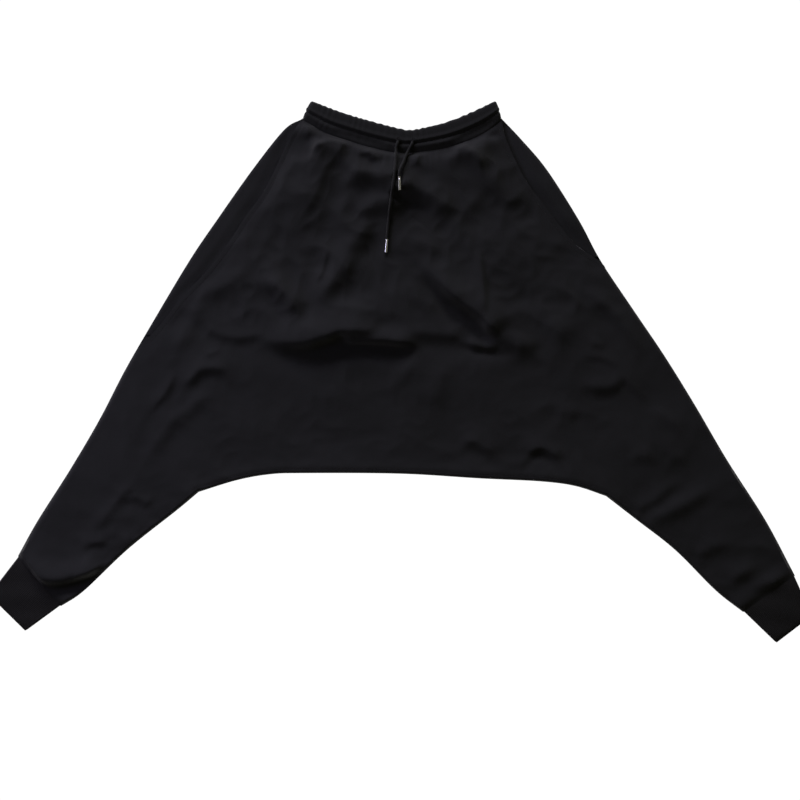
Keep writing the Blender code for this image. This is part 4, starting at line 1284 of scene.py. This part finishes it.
def tip_ends(line):
    """Where a tip starts and ends: straight on from the cord, clear of the cloth all along."""
    near = line[-1][:2]
    way = near - line[-4][:2]
    far = near + way / np.linalg.norm(way) * TIP_LENGTH
    shares = np.linspace(0, 1, TIP_PLACES)
    places = near + (far - near) * shares[:, None]
    rest = np.array([resting_height(CLOTH_TREE, x, y, CORD / 2) for x, y in places])
    lift = (rest - (rest[0] + (rest[-1] - rest[0]) * shares)).max()
    return np.array([*near, rest[0] + lift]), np.array([*far, rest[-1] + lift])


def joined(line, start):
    """The cord, raised over its last stretch so that it runs into its tip."""
    to_go = length_of(line) - run_along(line)
    raised = line.copy()
    raised[:, 2] += (start[2] - line[-1, 2]) * ease(1 - to_go / LIFTED_RUN)
    return raised


def tip_object(name, start, end):
    """A crimped tube on the end of a cord."""
    rows = smooth(TIP_ROWS, 0.02)
    middle = start + (end - start) * np.clip(rows[:, :1], 0, 1)
    return tube_object(name, middle, rows[:, 1:], TIP_SIDES, STEEL)


cords, tips, cord_lines = {}, {}, {}
for name, points in ROUTES:
    line = cord_line(points)
    start, end = tip_ends(line)
    line = cord_lines[name] = joined(line, start)
    cords[name] = tube_object("cord_" + name, line, braid_radius(line), CORD_SIDES, BRAID)
    tips[name] = tip_object("tip_of_" + name, start, end)
    print(name, "end:", round(length_of(line)), "mm of cord")

# %% [markdown]
# ## Sewing
#
# Rows of stitches hold the pieces together. One row parts the two channels of the
# waistband, one lies beside each pocket mouth, and one closes the crotch. The buttonholes
# have stitches set across their edge, side by side. Geometry Nodes sets them all, because
# one small tree does for every row once the sizes of a stitch are its inputs. No two
# stitches are quite alike: each is turned and stretched by a small fixed chance.

# %% Nodes of one stitch
STITCH_SEED = 7
STITCH_WAVER = 0.12       # how far a stitch may turn to either hand, in radians
STITCH_CUTS = 6           # how fine its bow and its thread are
STITCH_SUNK = 0.8         # how deep its ends go, in radii of its thread


def bow_of_thread(net, length, thread, rise):
    """One stitch: a bow of thread whose ends go into the cloth."""
    half = length * 0.5
    sunk = thread * -STITCH_SUNK
    bow = net.node("GeometryNodeCurveQuadraticBezier", None, {
        "Resolution": STITCH_CUTS,
        "Start": net.node("ShaderNodeCombineXYZ", None, {"X": half * -1.0, "Z": sunk}),
        "Middle": net.node("ShaderNodeCombineXYZ", None, {"Z": rise}),
        "End": net.node("ShaderNodeCombineXYZ", None, {"X": half, "Z": sunk})})
    round_thread = net.node("GeometryNodeCurvePrimitiveCircle", None, {
        "Resolution": STITCH_CUTS, "Radius": thread})
    return net.node("GeometryNodeCurveToMesh", None, {
        "Curve": bow, "Profile Curve": round_thread, "Fill Caps": True})


def turned_along(net, turn):
    """The turn of a stitch: along its line or across it, and by chance a little aside."""
    way = net.node("GeometryNodeInputTangent")
    level = net.node(
        "FunctionNodeAlignRotationToVector", {"axis": "X", "pivot_axis": "Z"}, {"Vector": way})
    along = net.node(
        "FunctionNodeAlignRotationToVector", {"axis": "X", "pivot_axis": "Y"},
        {"Rotation": level, "Vector": way})
    waver = net.node("FunctionNodeRandomValue", {"data_type": "FLOAT"}, {
        2: -STITCH_WAVER, 3: STITCH_WAVER, "Seed": STITCH_SEED}, output=1)
    aside = net.node("ShaderNodeCombineXYZ", None, {"Z": turn + waver})
    return net.node(
        "FunctionNodeRotateRotation", {"rotation_space": "LOCAL"},
        {"Rotation": along, "Rotate By": aside})


print("a stitch may waver by", round(np.degrees(STITCH_WAVER)), "degrees")

# %% A tree that sets stitches along a line
STITCH_INPUTS = ("Pitch", "Length", "Thread", "Rise", "Turn")


def stitch_tree():
    """Nodes that set a stitch at every step along a line."""
    tree = bpy.data.node_groups.new("row of stitches", "GeometryNodeTree")
    net = Net(tree)
    tree.interface.new_socket("Line", in_out="INPUT", socket_type="NodeSocketGeometry")
    for name in STITCH_INPUTS:
        tree.interface.new_socket(name, in_out="INPUT", socket_type="NodeSocketFloat")
    tree.interface.new_socket("Material", in_out="INPUT", socket_type="NodeSocketMaterial")
    tree.interface.new_socket("Stitches", in_out="OUTPUT", socket_type="NodeSocketGeometry")
    line, pitch, length, thread, rise, turn, material = (
        net.node("NodeGroupInput", output=i) for i in range(len(STITCH_INPUTS) + 2))
    steps = net.node(
        "GeometryNodeResampleCurve", {"mode": "LENGTH"},
        {"Curve": net.node("GeometryNodeMeshToCurve", None, {"Mesh": line}), "Length": pitch})
    size = net.node("FunctionNodeRandomValue", {"data_type": "FLOAT_VECTOR"}, {
        0: (0.88, 0.95, 0.8), 1: (1.08, 1.05, 1.2), "Seed": STITCH_SEED + 1})
    placed = net.node("GeometryNodeInstanceOnPoints", None, {
        "Points": steps, "Instance": bow_of_thread(net, length, thread, rise),
        "Rotation": turned_along(net, turn), "Scale": size})
    real = net.node("GeometryNodeRealizeInstances", None, {"Geometry": placed})
    sewn = net.node("GeometryNodeSetMaterial", None, {"Geometry": real, "Material": material})
    net.node("NodeGroupOutput", None, {"Stitches": sewn})
    return tree


STITCHES = stitch_tree()
print("nodes that set a stitch:", len(STITCHES.nodes))

# %% One row of stitches
Seam = namedtuple("Seam", "pitch length thread rise turn")

TOPSTITCH = Seam(3.4, 2.9, 0.22, 0.35, 0.0)
BUTTONHOLE = Seam(0.5, 2.4, 0.24, 0.50, pi / 2)


def sewn_rows(name, lines, seam):
    """One piece with a row of stitches along each line, as a plain mesh."""
    points, edges = [], []
    for line in lines:
        edges += [(len(points) + i, len(points) + i + 1) for i in range(len(line) - 1)]
        points += (line * MM).tolist()
    path = bpy.data.meshes.new(name)
    path.from_pydata(points, edges, [])
    piece = new_object(name, path)
    rows = piece.modifiers.new("stitches", "NODES")
    rows.node_group = STITCHES
    values = dict(zip(STITCH_INPUTS, (*(size * MM for size in seam[:4]), seam.turn)))
    values["Material"] = THREAD
    for socket in STITCHES.interface.items_tree:
        if socket.name in values:
            rows[socket.identifier] = values[socket.name]
    sewn = piece.evaluated_get(bpy.context.evaluated_depsgraph_get())
    mesh = bpy.data.meshes.new_from_object(sewn)
    piece.modifiers.remove(rows)
    piece.data = mesh
    mesh.shade_smooth()
    print(name, len(mesh.polygons), "faces")
    return piece


# %% Rows that follow the edges
ON_CLOTH = 0.12


def beside(line, distance):
    """A line moved to the left hand of one who walks along it."""
    run = headings(line)
    return line + np.column_stack([-run[:, 1], run[:, 0]]) * distance


def laid_on(tree, line, ends):
    """A line laid on the cloth, without its ends."""
    trimmed = shortened(line, ends)
    heights = [top_of(tree, x, y) + ON_CLOTH for x, y in trimmed]
    return np.column_stack([trimmed, heights])


front_tree = tree_of(front)
front_rows = (
    laid_on(front_tree, beside(smooth(POCKET_RIGHT[::6], 1.5), POCKET_STITCH), 14),
    laid_on(front_tree, beside(smooth(POCKET_LEFT[::6], 1.5), -POCKET_STITCH), 14),
    laid_on(front_tree, beside(smooth(CROTCH[::6], 1.5), CROTCH_STITCH), 12),
)
stitches_front = sewn_rows("stitches_front", front_rows, TOPSTITCH)

stitch_row = band_outer[round(STITCH_SHARE * (BAND_FINE_ROWS - 1))]
channel_row = stitch_row[:BAND_CELLS + 1:STITCH_STEP] + (0, 0, ON_CLOTH)
stitches_waistband = sewn_rows("stitches_waistband", [channel_row], TOPSTITCH)

# %% Buttonholes
HOLE_HALF_WIDTH, HOLE_HALF_LENGTH = 2.6, 5.4
HOLE_POINTS = 60

band_tree = tree_of(waistband)


def buttonhole_edge(x, y):
    """The oval edge of a buttonhole, laid on the waistband."""
    turn = np.linspace(0, 2 * pi, HOLE_POINTS)
    oval = np.column_stack([
        x + HOLE_HALF_WIDTH * np.cos(turn), y + HOLE_HALF_LENGTH * np.sin(turn)])
    heights = [top_of(band_tree, *place) + ON_CLOTH for place in oval]
    return np.column_stack([oval, heights])


buttonholes = sewn_rows(
    "buttonholes", [buttonhole_edge(*route.points[0]) for route in ROUTES], BUTTONHOLE)

# %% [markdown]
# ## Standing in for the solids
#
# The engineering model has one solid for each of these pieces. Each piece stands for its
# solid: the solid is hidden, and the piece rides with the root body, so that the part keeps
# its parts list.

# %% Stand for the solids
def dress(piece, node):
    """Let a piece stand for its solid: hide the solid, and attach the piece to the root body."""
    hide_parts(node)
    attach(piece, "root")
    print(piece.name, "stands for", node)


dress(front, "front_panel")
dress(back, "back_panel")
dress(facing_right, "pocket_facing_right")
dress(facing_left, "pocket_facing_left")
dress(waistband, "waistband")
for side, piece in cuffs.items():
    dress(piece, "cuff_" + side)
for name in cords:
    dress(cords[name], "drawstring_" + name)
    dress(tips[name], "tip_" + name)
    line = cord_lines[name] * MM

# %% [markdown]
# ## The cut sizes
#
# The cut sizes are what a cutter would lay out flat for what shows here. Front and back are
# as wide as both legs together, and a little longer than they lie, because the folds take
# some up. The waistband is cut longer than it lies and gathered on its elastic, and the
# ribs are stretched a little where they are sewn to the legs.

# %% The cut of each piece
Cut = namedtuple("Cut", "piece width length area held rests_on")

CUTS = (
    Cut(front, 1.34, 0.86, 0.545, "laid", (back,)),
    Cut(back, 1.34, 0.84, 0.520, "laid", ()),
    Cut(facing_right, 0.42, 0.075, 0.018, "laid", (back,)),
    Cut(facing_left, 0.27, 0.065, 0.0120, "laid", (back,)),
    Cut(waistband, 0.80, 0.041, None, "gathered", ()),
    Cut(cuffs["right"], 0.204, 0.078, None, "stretched", ()),
    Cut(cuffs["left"], 0.190, 0.075, None, "stretched", ()),
)
SEWN_ON = {front: (stitches_front,), waistband: (stitches_waistband, buttonholes)}
for pieces in SEWN_ON.values():
    for piece in pieces:
        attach(piece, "root")
for cut in CUTS:
    print(cut.piece.name, "is cut", cut.width, "by", cut.length, "m")

# %% [markdown]
# ## Table and light
#
# The table is plain and nearly white, and it glows by itself: a lit one would show a grey
# edge wherever the cloth shades it. The main light is large, low and far away beyond
# the waist, so that cloth which faces the waist shines and the hollows behind the folds
# stay dark. A weaker bluish one comes in from beyond the right hip, as from a window, with
# a small glow beside the right leg, and a faint yellowish light fills the shadows from all
# round.

# %% Table
TABLE_HALF, TABLE_Z = 40000, -0.3
TABLE_GLOW = 1.05

material, net = finish_net("white table")
principled(net, (0, 0, 0, 1), 1.0, None, {
    "Emission Color": (1, 1, 1, 1), "Emission Strength": TABLE_GLOW,
    "Specular IOR Level": 0.0})
corners = [(-1, -1), (1, -1), (1, 1), (-1, 1)]
table_mesh = new_mesh(
    "table", [(x * TABLE_HALF, y * TABLE_HALF, TABLE_Z) for x, y in corners], [(0, 1, 2, 3)])
table = new_object("table", table_mesh, material)
print("table:", 2 * TABLE_HALF * MM, "m wide")

# %% Lights
Light = namedtuple("Light", "name place aim size power colour")

LIGHTS = (
    Light(
        "low key", (-750, 8400, 3350), (0, 0, 0), 2400, 510, (0.95, 0.945, 1.0)),
    Light(
        "sky from the left", (-2100, 2900, 1300), (-250, 0, 0), 1400, 104, (0.80, 0.79, 1.0)),
    Light(
        "glow on the right leg", (-1050, 150, 700), (-500, -180, 0), 400, 3.6,
        (0.70, 0.66, 1.0)),
)
FILL_COLOUR, FILL_STRENGTH = (1, 0.96, 0.70, 1), 0.15

for row in LIGHTS:
    lamp = bpy.data.lights.new(row.name, "AREA")
    lamp.size = row.size * MM
    lamp.energy = row.power
    lamp.color = row.colour
    holder = new_object(row.name, lamp)
    holder.location = Vector(row.place) * MM
    back_way = Vector(row.place) - Vector(row.aim)
    holder.rotation_euler = back_way.to_track_quat("Z", "Y").to_euler()
    print(row.name + ":", row.power, "W from", round(back_way.length * MM, 1), "m away")

world = bpy.data.worlds.new("studio")
bpy.context.scene.world = world
world.use_nodes = True
background = world.node_tree.nodes["Background"]
background.inputs["Color"].default_value = FILL_COLOUR
background.inputs["Strength"].default_value = FILL_STRENGTH
bpy.context.scene.view_settings.view_transform = "Standard"
